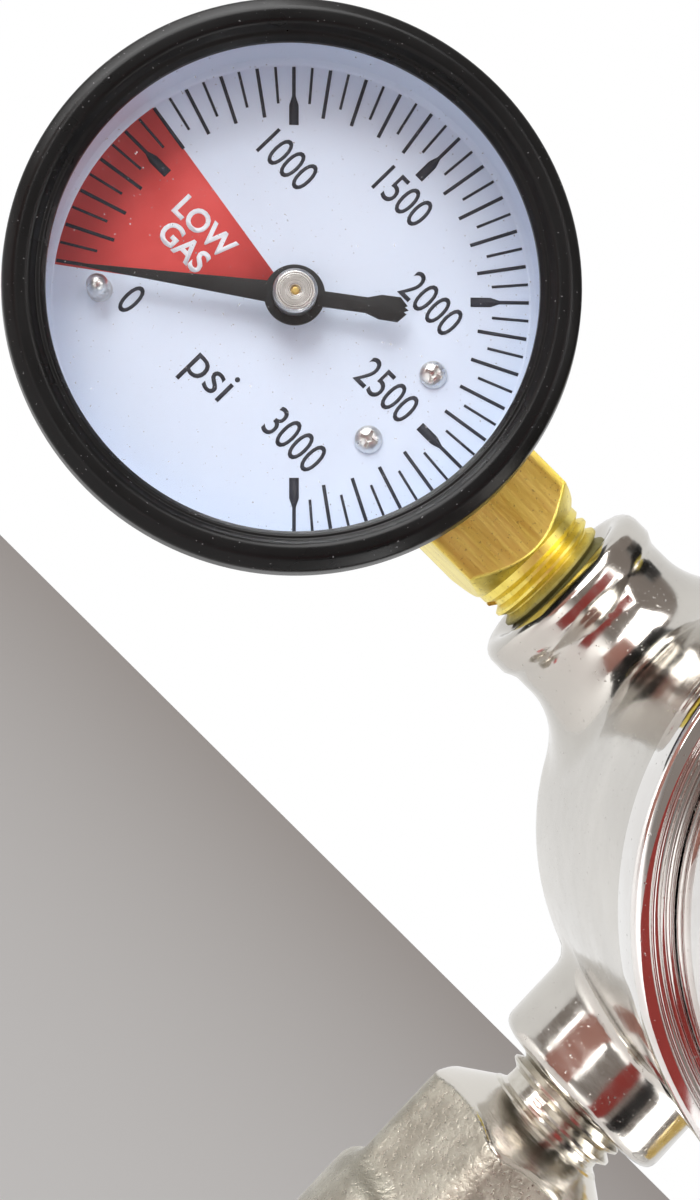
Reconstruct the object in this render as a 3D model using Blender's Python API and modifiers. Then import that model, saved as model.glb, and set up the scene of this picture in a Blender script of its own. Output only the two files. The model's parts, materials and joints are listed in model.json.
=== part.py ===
"""Two-gauge carbon dioxide regulator for a gas cylinder, with a shut-off valve.

Seen from the front the tank gauge is on the left, the output gauge on top, the cylinder
inlet on the right, the shut-off valve below and the relief valve at the lower right.
The origin is the centre of the inlet washer's sealing face, +X points out of the inlet,
+Z is up and the dials and the bonnet face -Y. Run it in Blender 4.5.
"""
import math

import bmesh
import bpy
from mathutils import Matrix, Vector

MM = 0.001

# General clearances
GAP = 0.3 * MM               # air between two pieces that touch or screw together
PIPE_RADIUS = 6.65 * MM      # crest of the quarter-inch taper pipe thread
PIPE_ENGAGED = 8.0 * MM      # length of a pipe thread inside its port
PIPE_SHOWN = 4.2 * MM        # length of a pipe thread left outside its port
PORT_DEPTH = 12.0 * MM

# Body: a drum on the Y axis, with its ports in the plane y = 0
BODY_RADIUS = 27.8 * MM
BODY_FRONT = 31.0 * MM       # front face, forward of the ports
BODY_BACK = 13.0 * MM        # back face, behind the ports
BODY_WALL = 3.5 * MM
BACK_ROUNDING = 8.0 * MM
RECESS_DEPTH = 6.0 * MM      # takes the bonnet's spigot
LEDGE_WIDTH = 5.3 * MM       # the diaphragm's rim sits on it
CHAMBER_DEPTH = 6.5 * MM     # low-pressure chamber under the diaphragm
RECESS_RADIUS = BODY_RADIUS - BODY_WALL
CHAMBER_RADIUS = RECESS_RADIUS - LEDGE_WIDTH
GAUGE_BOSS_RADIUS = 9.8 * MM
GAUGE_BOSS_HEIGHT = 10.2 * MM
BEAD_RADIUS = 10.4 * MM
OUTLET_BOSS_RADIUS = 9.9 * MM
OUTLET_BOSS_HEIGHT = 7.9 * MM
INLET_BOSS_RADIUS = 10.6 * MM
INLET_BOSS_HEIGHT = 10.2 * MM
RELIEF_BOSS_RADIUS = 7.6 * MM
RELIEF_BOSS_HEIGHT = 6.2 * MM
RELIEF_PORT_DEPTH = 9.0 * MM
RELIEF_THREAD_RADIUS = 4.85 * MM
GAUGE_BOSS_REACH = BODY_RADIUS + GAUGE_BOSS_HEIGHT
OUTLET_REACH = BODY_RADIUS + OUTLET_BOSS_HEIGHT
INLET_BOSS_REACH = BODY_RADIUS + INLET_BOSS_HEIGHT
RELIEF_REACH = BODY_RADIUS + RELIEF_BOSS_HEIGHT
PASSAGE_RADIUS = 2.0 * MM    # drilled gas passages
DRILLING_RADIUS = 2.4 * MM   # from the low-pressure chamber to each passage
PASSAGE_OFFSET = CHAMBER_RADIUS - 3.5 * MM
SEAT_BORE_RADIUS = 6.3 * MM
HIGH_BORE_RADIUS = 4.8 * MM
HIGH_BORE_BACK = 6.0 * MM

# Bonnet, diaphragm and adjusting screw, along the Y axis
FLANGE_OVERHANG = 0.6 * MM
FLANGE_LAND = 2.9 * MM       # width of the flange outside the dome
FLANGE_THICKNESS = 4.9 * MM
FLANGE_RADIUS = BODY_RADIUS + FLANGE_OVERHANG
DOME_RADIUS = FLANGE_RADIUS - FLANGE_LAND
DOME_HEIGHT = 23.5 * MM
DOME_TOP_RADIUS = 12.0 * MM
BONNET_WALL = 2.3 * MM
NECK_RADIUS = 9.5 * MM
NECK_HEIGHT = 5.5 * MM
DIAPHRAGM_THICKNESS = 1.2 * MM
SLIP_RING_THICKNESS = 0.7 * MM
PLATE_RADIUS = CHAMBER_RADIUS - 5.0 * MM
PLATE_THICKNESS = 2.4 * MM
RANGE_SPRING_RADIUS = 8.0 * MM
RANGE_WIRE_RADIUS = 1.0 * MM
SCREW_RADIUS = 4.7 * MM
SCREW_LENGTH = 28.0 * MM
BUTTON_RADIUS = RANGE_SPRING_RADIUS + RANGE_WIRE_RADIUS
BUTTON_THICKNESS = 2.4 * MM
LOCK_NUT_FLATS = 17.0 * MM
LOCK_NUT_HEIGHT = 6.0 * MM

# Seat and poppet
SEAT_HEAD_FLATS = 14.0 * MM
SEAT_HEAD_HEIGHT = 2.7 * MM
ORIFICE_RADIUS = 1.2 * MM
POPPET_RADIUS = 3.0 * MM
PIN_RADIUS = 0.8 * MM

# Cylinder inlet
INLET_LENGTH = 44.0 * MM     # boss to sealing face
INLET_REACH = INLET_BOSS_REACH + INLET_LENGTH
SHANK_RADIUS = 6.0 * MM
HEAD_RADIUS = 9.4 * MM
HEAD_LENGTH = 7.7 * MM
WASHER_THICKNESS = 2.0 * MM
WASHER_RADIUS = 8.7 * MM
WASHER_HOLE = 3.6 * MM
NUT_FLATS = 28.6 * MM
NUT_LENGTH = 24.0 * MM
NUT_WALL = 5.2 * MM
NUT_BORE = 10.8 * MM
WRENCH_FLATS = 14.0 * MM

# Shut-off valve, along -Z
VALVE_FLATS = 21.0 * MM
BALL_OFFSET = 21.1 * MM      # ball's centre, from the start of the cone
BALL_RADIUS = 6.9 * MM
BALL_BORE = 3.0 * MM
BALL_CLEARANCE = 0.7 * MM
CHAMBER_WALL = 5.0 * MM
SEAL_THICKNESS = 1.3 * MM
VALVE_CONE_START = OUTLET_REACH + PIPE_SHOWN
BALL_CENTRE = VALVE_CONE_START + BALL_OFFSET
BALL_HOUSING = BALL_RADIUS + BALL_CLEARANCE
VALVE_CHAMBER_RADIUS = BALL_HOUSING + CHAMBER_WALL
SEAL_INNER = BALL_BORE + 0.4 * MM
SEAL_LIP = math.sqrt(BALL_RADIUS ** 2 - SEAL_INNER ** 2) + 0.4 * MM
SEAL_END = SEAL_LIP + SEAL_THICKNESS
VALVE_END = BALL_CENTRE + SEAL_END + 2.3 * MM
HANDLE_BOSS_RADIUS = 6.2 * MM
HANDLE_BOSS_HEIGHT = VALVE_CHAMBER_RADIUS + 4.4 * MM
VALVE_STEM_RADIUS = 3.0 * MM
LEVER_THICKNESS = 2.5 * MM
LEVER_WIDTH = 9.0 * MM
LEVER_LENGTH = 48.0 * MM
GRIP_LENGTH = 34.0 * MM
ADAPTER_FLATS = 19.0 * MM
ADAPTER_HEX = 6.7 * MM
BARB_ROOT = 3.8 * MM
BARB_CREST = 4.6 * MM
BARB_BORE = 2.7 * MM
BARB_PITCH = 4.5 * MM
BARB_COUNT = 5

# Relief valve, at 45 degrees below the inlet
RELIEF_BARREL_RADIUS = 6.2 * MM
RELIEF_LENGTH = 15.0 * MM
RELIEF_TOP = RELIEF_REACH + RELIEF_LENGTH
RELIEF_EYE = RELIEF_TOP + 5.5 * MM
RING_RADIUS = 9.0 * MM
RING_WIRE = 0.8 * MM

# Gauges: forward distances are from the stem's axis
CASE_RADIUS = 24.9 * MM
CASE_WALL = 1.0 * MM
CASE_BACK = 10.5 * MM
CASE_FRONT = 14.8 * MM
BEZEL_OVERHANG = 1.6 * MM
BEZEL_LIP = 2.4 * MM
BEZEL_FRONT = 19.2 * MM
BEZEL_RADIUS = CASE_RADIUS + BEZEL_OVERHANG
WINDOW_RADIUS = CASE_RADIUS - BEZEL_LIP
LENS_THICKNESS = 1.5 * MM
DIAL_FRONT = 9.56 * MM
DIAL_THICKNESS = 0.76 * MM
STEM_FLATS = 13.8 * MM
STEM_OUTSIDE = 9.05 * MM     # length of the square outside the case
STEM_SQUARE_END = CASE_RADIUS + STEM_OUTSIDE
GAUGE_REACH = GAUGE_BOSS_REACH + PIPE_SHOWN + STEM_SQUARE_END
SOCKET_OUTER = CASE_RADIUS - 6.9 * MM
SOCKET_THICKNESS = 6.6 * MM
SOCKET_INNER = SOCKET_OUTER - SOCKET_THICKNESS
SOCKET_HALF_WIDTH = 7.4 * MM
DIAL_SCREW_REACH = SOCKET_OUTER - 3.45 * MM
DIAL_SCREW_SPREAD = 4.45 * MM
DIAL_SCREW_RADIUS = 0.9 * MM
DIAL_SCREW_HEAD = 1.35 * MM
POINTER_LENGTH = WINDOW_RADIUS - 2.2 * MM
POINTER_TAIL = 10.9 * MM
POINTER_HUB = 2.9 * MM
POINTER_FRONT = 12.4 * MM
POINTER_THICKNESS = 0.4 * MM
ARBOR_RADIUS = 0.8 * MM
HUB_RADIUS = 2.1 * MM
HUB_FRONT = 14.67 * MM
PINION_RADIUS = 1.35 * MM
PINION_TEETH = 9
SECTOR_RADIUS = 8.25 * MM
SECTOR_TEETH = 11
TAIL_LENGTH = 4.6 * MM
LINK_PIN = 0.6 * MM
TUBE_RADIUS = CASE_RADIUS - 7.4 * MM
TUBE_HALF_THICK = 1.2 * MM
TUBE_HALF_DEEP = 3.2 * MM
STOP_REACH = POINTER_LENGTH - 1.8 * MM
STOP_RADIUS = 1.06 * MM
STOP_BEFORE_ZERO = 5.0       # degrees
TANK_ZERO = -127.5           # degrees clockwise from the top of the dial
OUTPUT_ZERO = -127.5
POINTER_SWEEP = 262.5        # degrees
SECTOR_RATIO = 8.0           # pointer turns this many times the sector

# Which way a piece's own +Z points, as Euler angles in degrees
FORWARD = (90, 0, 0)
RIGHT = (0, 90, 0)
LEFT = (0, -90, 0)
UP = (0, 0, 0)
DOWN = (180, 0, 0)
LOWER_RIGHT = (0, 135, 0)

WIDE = 36                    # sides of the largest turned pieces
ROUND = 24
FINE = 18
TINY = 10

# Finish: colour, metallic, roughness
FINISHES = {
    "nickel": ((0.66, 0.64, 0.60), 1.0, 0.12),
    "cast_nickel": ((0.56, 0.54, 0.49), 1.0, 0.38),
    "chrome": ((0.72, 0.71, 0.69), 1.0, 0.07),
    "brass": ((0.78, 0.60, 0.20), 1.0, 0.30),
    "steel": ((0.55, 0.55, 0.56), 1.0, 0.30),
    "spring_steel": ((0.40, 0.40, 0.42), 1.0, 0.35),
    "black_paint": ((0.012, 0.012, 0.013), 0.0, 0.22),
    "dial_white": ((0.84, 0.88, 0.93), 0.0, 0.45),
    "lens": ((0.90, 0.93, 0.95), 0.0, 0.05),
    "rubber": ((0.03, 0.03, 0.03), 0.0, 0.70),
    "nylon": ((0.85, 0.84, 0.78), 0.0, 0.50),
    "red_vinyl": ((0.55, 0.03, 0.03), 0.0, 0.45),
}


def new_collection(name):
    collection = bpy.data.collections.new(name)
    bpy.context.scene.collection.children.link(collection)
    return collection


for leftover in list(bpy.data.objects):
    bpy.data.objects.remove(leftover, do_unlink=True)
PARTS = new_collection("carbon_dioxide_regulator")
CUTTERS = new_collection("cutters")


def finish(name):
    """The named Principled material, made once."""
    if name in bpy.data.materials:
        return bpy.data.materials[name]
    colour, metallic, roughness = FINISHES[name]
    material = bpy.data.materials.new(name)
    material.use_nodes = True
    shader = material.node_tree.nodes["Principled BSDF"]
    shader.inputs["Base Color"].default_value = (*colour, 1.0)
    shader.inputs["Metallic"].default_value = metallic
    shader.inputs["Roughness"].default_value = roughness
    return material


def empty(name, parent=None, at=(0, 0, 0), turn=(0, 0, 0)):
    """A named place that pieces are parented to."""
    place = bpy.data.objects.new(name, None)
    PARTS.objects.link(place)
    settle(place, parent, at, turn)
    return place


def settle(piece, parent, at, turn):
    """Put a piece at a place and a turn, in degrees, of its parent's frame."""
    piece.parent = parent
    piece.location = at
    piece.rotation_euler = [math.radians(angle) for angle in turn]


def add_piece(name, data, look, parent, at, turn):
    """Link a mesh or curve as a part, or as a cutter where it has no finish."""
    piece = bpy.data.objects.new(name, data)
    if look is None:
        CUTTERS.objects.link(piece)
        piece.hide_render = True
        piece.display_type = "WIRE"
    else:
        PARTS.objects.link(piece)
        data.materials.append(finish(look))
    settle(piece, parent, at, turn)
    return piece


def turned(name, profile, look=None, parent=None, at=(0, 0, 0), turn=UP, sides=FINE, ring=False):
    """Spin a (radius, height) profile round the piece's own Z; its outer side runs down."""
    count = len(profile)
    edges = [(i, i + 1) for i in range(count - 1)]
    if ring:
        edges.append((count - 1, 0))
    mesh = bpy.data.meshes.new(name)
    mesh.from_pydata([(radius, 0.0, height) for radius, height in profile], edges, [])
    piece = add_piece(name, mesh, look, parent, at, turn)
    spin = piece.modifiers.new("spin", "SCREW")
    spin.axis = "Z"
    spin.angle = math.tau
    spin.steps = sides
    spin.render_steps = sides
    spin.use_merge_vertices = True
    spin.merge_threshold = 0.00001
    spin.use_smooth_shade = look is not None
    return piece


def rod(name, radius, low, high, **place):
    """A plain round bar along the piece's own Z."""
    return turned(name, [(0, high), (radius, high), (radius, low), (0, low)], **place)


def box(name, low, high, look=None, parent=None, turn=UP):
    """A block between two corners of its own frame."""
    mesh = bpy.data.meshes.new(name)
    shape = bmesh.new()
    bmesh.ops.create_cube(shape, size=1.0)
    low, high = Vector(low), Vector(high)
    bmesh.ops.scale(shape, vec=high - low, verts=shape.verts)
    bmesh.ops.translate(shape, vec=(low + high) / 2, verts=shape.verts)
    shape.to_mesh(mesh)
    shape.free()
    return add_piece(name, mesh, look, parent, (0, 0, 0), turn)


def prism(name, sides, flats, low, high, look=None, parent=None, at=(0, 0, 0), turn=UP, spin=0.0):
    """A square or hexagonal bar along its own Z, with a corner towards +X before spin."""
    mesh = bpy.data.meshes.new(name)
    shape = bmesh.new()
    corner = flats / 2 / math.cos(math.pi / sides)
    bmesh.ops.create_cone(
        shape, cap_ends=True, segments=sides, radius1=corner, radius2=corner, depth=high - low
    )
    first = max(shape.verts, key=lambda vert: vert.co.x).co
    lead = math.atan2(first.y, first.x)
    bmesh.ops.rotate(
        shape, matrix=rotation_z(math.radians(spin) - lead), verts=shape.verts
    )
    bmesh.ops.translate(shape, vec=(0, 0, (low + high) / 2), verts=shape.verts)
    shape.to_mesh(mesh)
    shape.free()
    return add_piece(name, mesh, look, parent, at, turn)


def rotation_z(angle):
    return Matrix.Rotation(angle, 3, "Z")


def boolean(piece, operation, *others):
    """Cut, join or intersect a piece with others, which stay as hidden cutters."""
    for other in others:
        step = piece.modifiers.new(operation.lower(), "BOOLEAN")
        step.operation = operation
        step.solver = "EXACT"
        step.object = other
    return piece


def cut(piece, *others):
    return boolean(piece, "DIFFERENCE", *others)


def join(piece, *others):
    return boolean(piece, "UNION", *others)


def keep_inside(piece, other):
    return boolean(piece, "INTERSECT", other)


def chamfered(piece, flats, sides, low, high, bevel, **place):
    """Turn the corners off a bar's two ends."""
    corner = flats / 2 / math.cos(math.pi / sides) + GAP
    flat = flats / 2
    rise = (corner - flat) * bevel
    profile = [
        (0, high), (flat, high), (corner, high - rise), (corner, low + rise), (flat, low), (0, low)
    ]
    return keep_inside(piece, turned(piece.name + "_chamfer", profile, sides=ROUND, **place))


def plate(name, outlines, low, high, look=None, parent=None, turn=FORWARD):
    """A flat sheet: closed outlines in its own XY plane, from low to high along its Z."""
    curve = bpy.data.curves.new(name, "CURVE")
    curve.dimensions = "2D"
    curve.fill_mode = "BOTH"
    curve.extrude = (high - low) / 2
    for outline in outlines:
        spline = curve.splines.new("POLY")
        spline.points.add(len(outline) - 1)
        for point, (x, y) in zip(spline.points, outline):
            point.co = (x, y, 0, 1)
        spline.use_cyclic_u = True
    sketch = bpy.data.objects.new(name + "_sketch", curve)
    CUTTERS.objects.link(sketch)
    bpy.context.view_layer.update()
    solid = sketch.evaluated_get(bpy.context.evaluated_depsgraph_get())
    mesh = bpy.data.meshes.new_from_object(solid)
    bpy.data.objects.remove(sketch, do_unlink=True)
    shape = bmesh.new()
    shape.from_mesh(mesh)
    bmesh.ops.remove_doubles(shape, verts=shape.verts, dist=0.000001)
    bmesh.ops.translate(shape, vec=(0, 0, (low + high) / 2), verts=shape.verts)
    shape.to_mesh(mesh)
    shape.free()
    return add_piece(name, mesh, look, parent, (0, 0, 0), turn)


def arc(radius, start, end, steps, centre=(0, 0)):
    """Points on an arc, with both ends; angles in degrees."""
    points = []
    for i in range(steps + 1):
        angle = math.radians(start + (end - start) * i / steps)
        points.append((centre[0] + radius * math.cos(angle), centre[1] + radius * math.sin(angle)))
    return points


def circle(radius, steps, centre=(0, 0)):
    return arc(radius, 0, 360, steps, centre)[:-1]


def slot(first, second, half_width, steps=6):
    """A stadium round two points."""
    heading = math.degrees(math.atan2(second[1] - first[1], second[0] - first[0]))
    return (
        arc(half_width, heading - 90, heading + 90, steps, second)
        + arc(half_width, heading + 90, heading + 270, steps, first)
    )


def coil(name, radius, wire, low, high, turns, look, parent, turn):
    """A helical spring along its own Z, between the middles of its end wires."""
    per_turn = 9
    count = round(turns * per_turn)
    curve = bpy.data.curves.new(name, "CURVE")
    curve.dimensions = "3D"
    curve.bevel_depth = wire
    curve.bevel_resolution = 2
    curve.use_fill_caps = True
    spline = curve.splines.new("POLY")
    spline.points.add(count)
    for i, point in enumerate(spline.points):
        angle = math.tau * i / per_turn
        height = low + (high - low) * i / count
        point.co = (radius * math.cos(angle), radius * math.sin(angle), height, 1)
    return add_piece(name, curve, look, parent, (0, 0, 0), turn)


def rounded_corner(radius, centre, start, end, steps=4):
    """Points of a profile's rounded corner."""
    return arc(radius, start, end, steps, centre)


# ---------------------------------------------------------------- regulator body

body_axis = empty("body_axis", at=(-INLET_REACH, 0, 0))

LEDGE = BODY_FRONT - RECESS_DEPTH
CHAMBER_FLOOR = LEDGE - CHAMBER_DEPTH
SEAT_BORE_BACK = CHAMBER_FLOOR - 10.5 * MM
BOSS_ROOT = BODY_RADIUS - 8.0 * MM       # a boss starts inside the drum
BOSS_FLARE = 2.6 * MM
RELIEF_FLARE = 1.3 * MM


def boss(name, radius, reach, turn, flare, beaded=False):
    """A round port boss with a flared root and, on a gauge port, a beaded mouth."""
    lip = 1.6 * MM
    edge = BEAD_RADIUS if beaded else radius
    profile = [(0, reach), (edge - lip, reach), (edge - 0.4 * MM, reach - 0.5 * lip)]
    profile += [(edge, reach - lip)]
    if beaded:
        profile += [(edge, reach - 2.6 * MM), (radius, reach - 3.8 * MM)]
    flare_top = BODY_RADIUS + 2.4 * MM
    profile += [(radius, flare_top), (radius + 0.35 * flare, flare_top - 1.6 * MM)]
    profile += [(radius + flare, BODY_RADIUS - 0.8 * MM), (radius + flare, BOSS_ROOT)]
    profile += [(0, BOSS_ROOT)]
    return turned(name, profile, parent=body_axis, turn=turn, sides=ROUND)


def port(name, radius, reach, depth, turn):
    """A port's bore with its countersunk mouth."""
    sink = 1.1 * MM
    profile = [
        (0, reach + GAP), (radius + sink + GAP, reach + GAP), (radius, reach - sink),
        (radius, reach - depth), (0, reach - depth)
    ]
    return turned(name, profile, parent=body_axis, turn=turn, sides=ROUND)


def make_body():
    corner = BODY_RADIUS - BACK_ROUNDING
    profile = [(0, CHAMBER_FLOOR), (CHAMBER_RADIUS, CHAMBER_FLOOR), (CHAMBER_RADIUS, LEDGE)]
    profile += [(RECESS_RADIUS, LEDGE), (RECESS_RADIUS, BODY_FRONT), (BODY_RADIUS, BODY_FRONT)]
    profile += rounded_corner(
        BACK_ROUNDING, (corner, BACK_ROUNDING - BODY_BACK), 0, -90, steps=4
    )
    profile += [(0, -BODY_BACK)]
    body = turned("regulator_body", profile, "nickel", body_axis, turn=FORWARD, sides=WIDE)
    join(
        body,
        boss("tank_gauge_boss", GAUGE_BOSS_RADIUS, GAUGE_BOSS_REACH, LEFT, BOSS_FLARE, True),
        boss("output_gauge_boss", GAUGE_BOSS_RADIUS, GAUGE_BOSS_REACH, UP, BOSS_FLARE, True),
        boss("outlet_boss", OUTLET_BOSS_RADIUS, OUTLET_REACH, DOWN, BOSS_FLARE),
        boss("inlet_boss", INLET_BOSS_RADIUS, INLET_BOSS_REACH, RIGHT, BOSS_FLARE),
        boss("relief_boss", RELIEF_BOSS_RADIUS, RELIEF_REACH, LOWER_RIGHT, RELIEF_FLARE),
    )
    pipe = PIPE_RADIUS + GAP
    cut(
        body,
        port("tank_gauge_port", pipe, GAUGE_BOSS_REACH, PORT_DEPTH, LEFT),
        port("output_gauge_port", pipe, GAUGE_BOSS_REACH, PORT_DEPTH, UP),
        port("outlet_port", pipe, OUTLET_REACH, PORT_DEPTH, DOWN),
        port("inlet_port", pipe, INLET_BOSS_REACH, PORT_DEPTH, RIGHT),
        port("relief_port", RELIEF_THREAD_RADIUS + GAP, RELIEF_REACH, RELIEF_PORT_DEPTH,
             LOWER_RIGHT),
        rod("seat_bore", SEAT_BORE_RADIUS, SEAT_BORE_BACK, CHAMBER_FLOOR + MM,
            parent=body_axis, turn=FORWARD),
        rod("high_bore", HIGH_BORE_RADIUS, -HIGH_BORE_BACK, SEAT_BORE_BACK + MM,
            parent=body_axis, turn=FORWARD),
    )
    ports = {"left": (LEFT, GAUGE_BOSS_REACH), "right": (RIGHT, INLET_BOSS_REACH)}
    for side, (turn, reach) in ports.items():
        cut(body, rod("high_passage_" + side, PASSAGE_RADIUS, 0, reach - PORT_DEPTH + MM,
                      parent=body_axis, turn=turn, sides=TINY))
    low_ports = {
        "up": (UP, GAUGE_BOSS_REACH - PORT_DEPTH, (0, PASSAGE_OFFSET)),
        "down": (DOWN, OUTLET_REACH - PORT_DEPTH, (0, -PASSAGE_OFFSET)),
        "relief": (LOWER_RIGHT, RELIEF_REACH - RELIEF_PORT_DEPTH,
                   (PASSAGE_OFFSET * math.sqrt(0.5), -PASSAGE_OFFSET * math.sqrt(0.5))),
    }
    for side, (turn, floor, (x, z)) in low_ports.items():
        cut(
            body,
            rod("low_passage_" + side, PASSAGE_RADIUS, PASSAGE_OFFSET, floor + MM,
                parent=body_axis, turn=turn, sides=TINY),
            rod("low_drilling_" + side, DRILLING_RADIUS, -1.3 * MM, CHAMBER_FLOOR + MM,
                parent=body_axis, at=(x, 0, z), turn=FORWARD, sides=TINY),
        )


# ---------------------------------------------------------------- bonnet and diaphragm

DIAPHRAGM_BACK = LEDGE + GAP
DIAPHRAGM_FRONT = DIAPHRAGM_BACK + DIAPHRAGM_THICKNESS
SLIP_BACK = DIAPHRAGM_FRONT + GAP
SPIGOT_BACK = SLIP_BACK + SLIP_RING_THICKNESS + GAP
FLANGE_BACK = BODY_FRONT + GAP
FLANGE_FRONT = FLANGE_BACK + FLANGE_THICKNESS
DOME_TOP = FLANGE_FRONT + DOME_HEIGHT
NECK_TOP = DOME_TOP + NECK_HEIGHT
PLATE_BACK = DIAPHRAGM_FRONT + GAP
PLATE_FRONT = PLATE_BACK + PLATE_THICKNESS
PIN_TOP = LEDGE - 0.8 * MM
BUTTON_FRONT = DOME_TOP - BONNET_WALL - 1.6 * MM
BUTTON_BACK = BUTTON_FRONT - BUTTON_THICKNESS


def dome(radius, low, top_radius, height, steps=8):
    """The bonnet's quarter-ellipse, from its top down to its foot."""
    points = []
    for i in range(steps + 1):
        angle = math.pi / 2 * (1 - i / steps)
        points.append((
            top_radius + (radius - top_radius) * math.cos(angle),
            low + height * math.sin(angle),
        ))
    return points


def make_bonnet():
    screw_hole = SCREW_RADIUS + GAP
    groove = DOME_RADIUS + 0.8 * MM
    spigot = RECESS_RADIUS - GAP
    inner_top = DOME_TOP - BONNET_WALL
    profile = [(screw_hole, NECK_TOP), (NECK_RADIUS - 0.8 * MM, NECK_TOP)]
    profile += [(NECK_RADIUS, NECK_TOP - 0.8 * MM), (NECK_RADIUS, DOME_TOP + 0.6 * MM)]
    profile += dome(DOME_RADIUS, FLANGE_FRONT, DOME_TOP_RADIUS, DOME_HEIGHT)
    profile += [(DOME_RADIUS, FLANGE_FRONT), (groove, FLANGE_FRONT)][1:]
    profile += [(groove, FLANGE_FRONT - 0.7 * MM), (groove + 0.5 * MM, FLANGE_FRONT - 0.7 * MM)]
    profile += [(groove + 0.5 * MM, FLANGE_FRONT), (FLANGE_RADIUS - 1.0 * MM, FLANGE_FRONT)]
    profile += [(FLANGE_RADIUS - 0.3 * MM, FLANGE_FRONT - 0.3 * MM)]
    profile += [(FLANGE_RADIUS, FLANGE_FRONT - 1.0 * MM), (FLANGE_RADIUS, FLANGE_BACK)]
    profile += [(spigot, FLANGE_BACK), (spigot, SPIGOT_BACK), (CHAMBER_RADIUS, SPIGOT_BACK)]
    inside = dome(
        DOME_RADIUS - BONNET_WALL, FLANGE_FRONT, DOME_TOP_RADIUS, DOME_HEIGHT - BONNET_WALL, steps=6
    )
    profile += [(CHAMBER_RADIUS, FLANGE_BACK)] + inside[::-1]
    profile += [(screw_hole, inner_top)]
    bonnet = turned("bonnet", profile, "chrome", body_axis, turn=FORWARD, sides=WIDE, ring=True)
    cut(bonnet, rod("vent", 1.5 * MM, 0, FLANGE_RADIUS, parent=body_axis,
                    at=(0, -(FLANGE_FRONT + 9.0 * MM), 0), turn=DOWN, sides=TINY))


def make_diaphragm_stack():
    rim = RECESS_RADIUS - GAP
    hub = 2.0 * MM
    turned("slip_ring", [
        (CHAMBER_RADIUS, SLIP_BACK + SLIP_RING_THICKNESS), (rim, SLIP_BACK + SLIP_RING_THICKNESS),
        (rim, SLIP_BACK), (CHAMBER_RADIUS, SLIP_BACK),
    ], "steel", body_axis, turn=FORWARD, sides=ROUND, ring=True)
    turned("diaphragm", [
        (hub + GAP, DIAPHRAGM_FRONT), (rim, DIAPHRAGM_FRONT),
        (rim, DIAPHRAGM_BACK), (hub + GAP, DIAPHRAGM_BACK),
    ], "rubber", body_axis, turn=FORWARD, sides=ROUND, ring=True)
    seat = RANGE_SPRING_RADIUS - RANGE_WIRE_RADIUS - 2 * GAP
    turned("diaphragm_plate", [
        (0, PLATE_FRONT + 1.4 * MM), (seat - 0.4 * MM, PLATE_FRONT + 1.4 * MM),
        (seat, PLATE_FRONT + MM), (seat, PLATE_FRONT), (PLATE_RADIUS, PLATE_FRONT),
        (PLATE_RADIUS, PLATE_BACK), (hub, PLATE_BACK), (hub, PIN_TOP + GAP), (0, PIN_TOP + GAP),
    ], "brass", body_axis, turn=FORWARD, sides=ROUND)
    coil("range_spring", RANGE_SPRING_RADIUS, RANGE_WIRE_RADIUS,
         PLATE_FRONT + RANGE_WIRE_RADIUS + 2 * GAP, BUTTON_BACK - RANGE_WIRE_RADIUS - 2 * GAP,
         5.5, "spring_steel", body_axis, FORWARD)
    turned("spring_button", [
        (0, BUTTON_FRONT - 1.0 * MM), (2.0 * MM, BUTTON_FRONT), (BUTTON_RADIUS, BUTTON_FRONT),
        (BUTTON_RADIUS, BUTTON_BACK), (seat, BUTTON_BACK), (seat - 0.6 * MM, BUTTON_BACK - 2 * MM),
        (0, BUTTON_BACK - 2 * MM),
    ], "steel", body_axis, turn=FORWARD)


def make_adjusting_screw():
    tip = BUTTON_FRONT - 0.4 * MM
    top = tip + SCREW_LENGTH
    screw = turned("adjusting_screw", [
        (0, top), (SCREW_RADIUS - 0.7 * MM, top), (SCREW_RADIUS, top - 0.7 * MM),
        (SCREW_RADIUS, tip + 3.4 * MM), (1.2 * MM, tip + 0.3 * MM), (0, tip),
    ], "steel", body_axis, turn=FORWARD)
    slot_half = 0.8 * MM
    cut(screw, box("driver_slot", (-SCREW_RADIUS - MM, -slot_half, top - 2 * MM),
                   (SCREW_RADIUS + MM, slot_half, top + MM), parent=body_axis, turn=FORWARD))
    low = NECK_TOP + GAP
    high = low + LOCK_NUT_HEIGHT
    nut = prism("lock_nut", 6, LOCK_NUT_FLATS, low, high, "steel", body_axis, turn=FORWARD)
    chamfered(nut, LOCK_NUT_FLATS, 6, low, high, 0.6, parent=body_axis, turn=FORWARD)
    cut(nut, rod("lock_nut_thread", SCREW_RADIUS + GAP, low - MM, high + MM,
                 parent=body_axis, turn=FORWARD))


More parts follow.
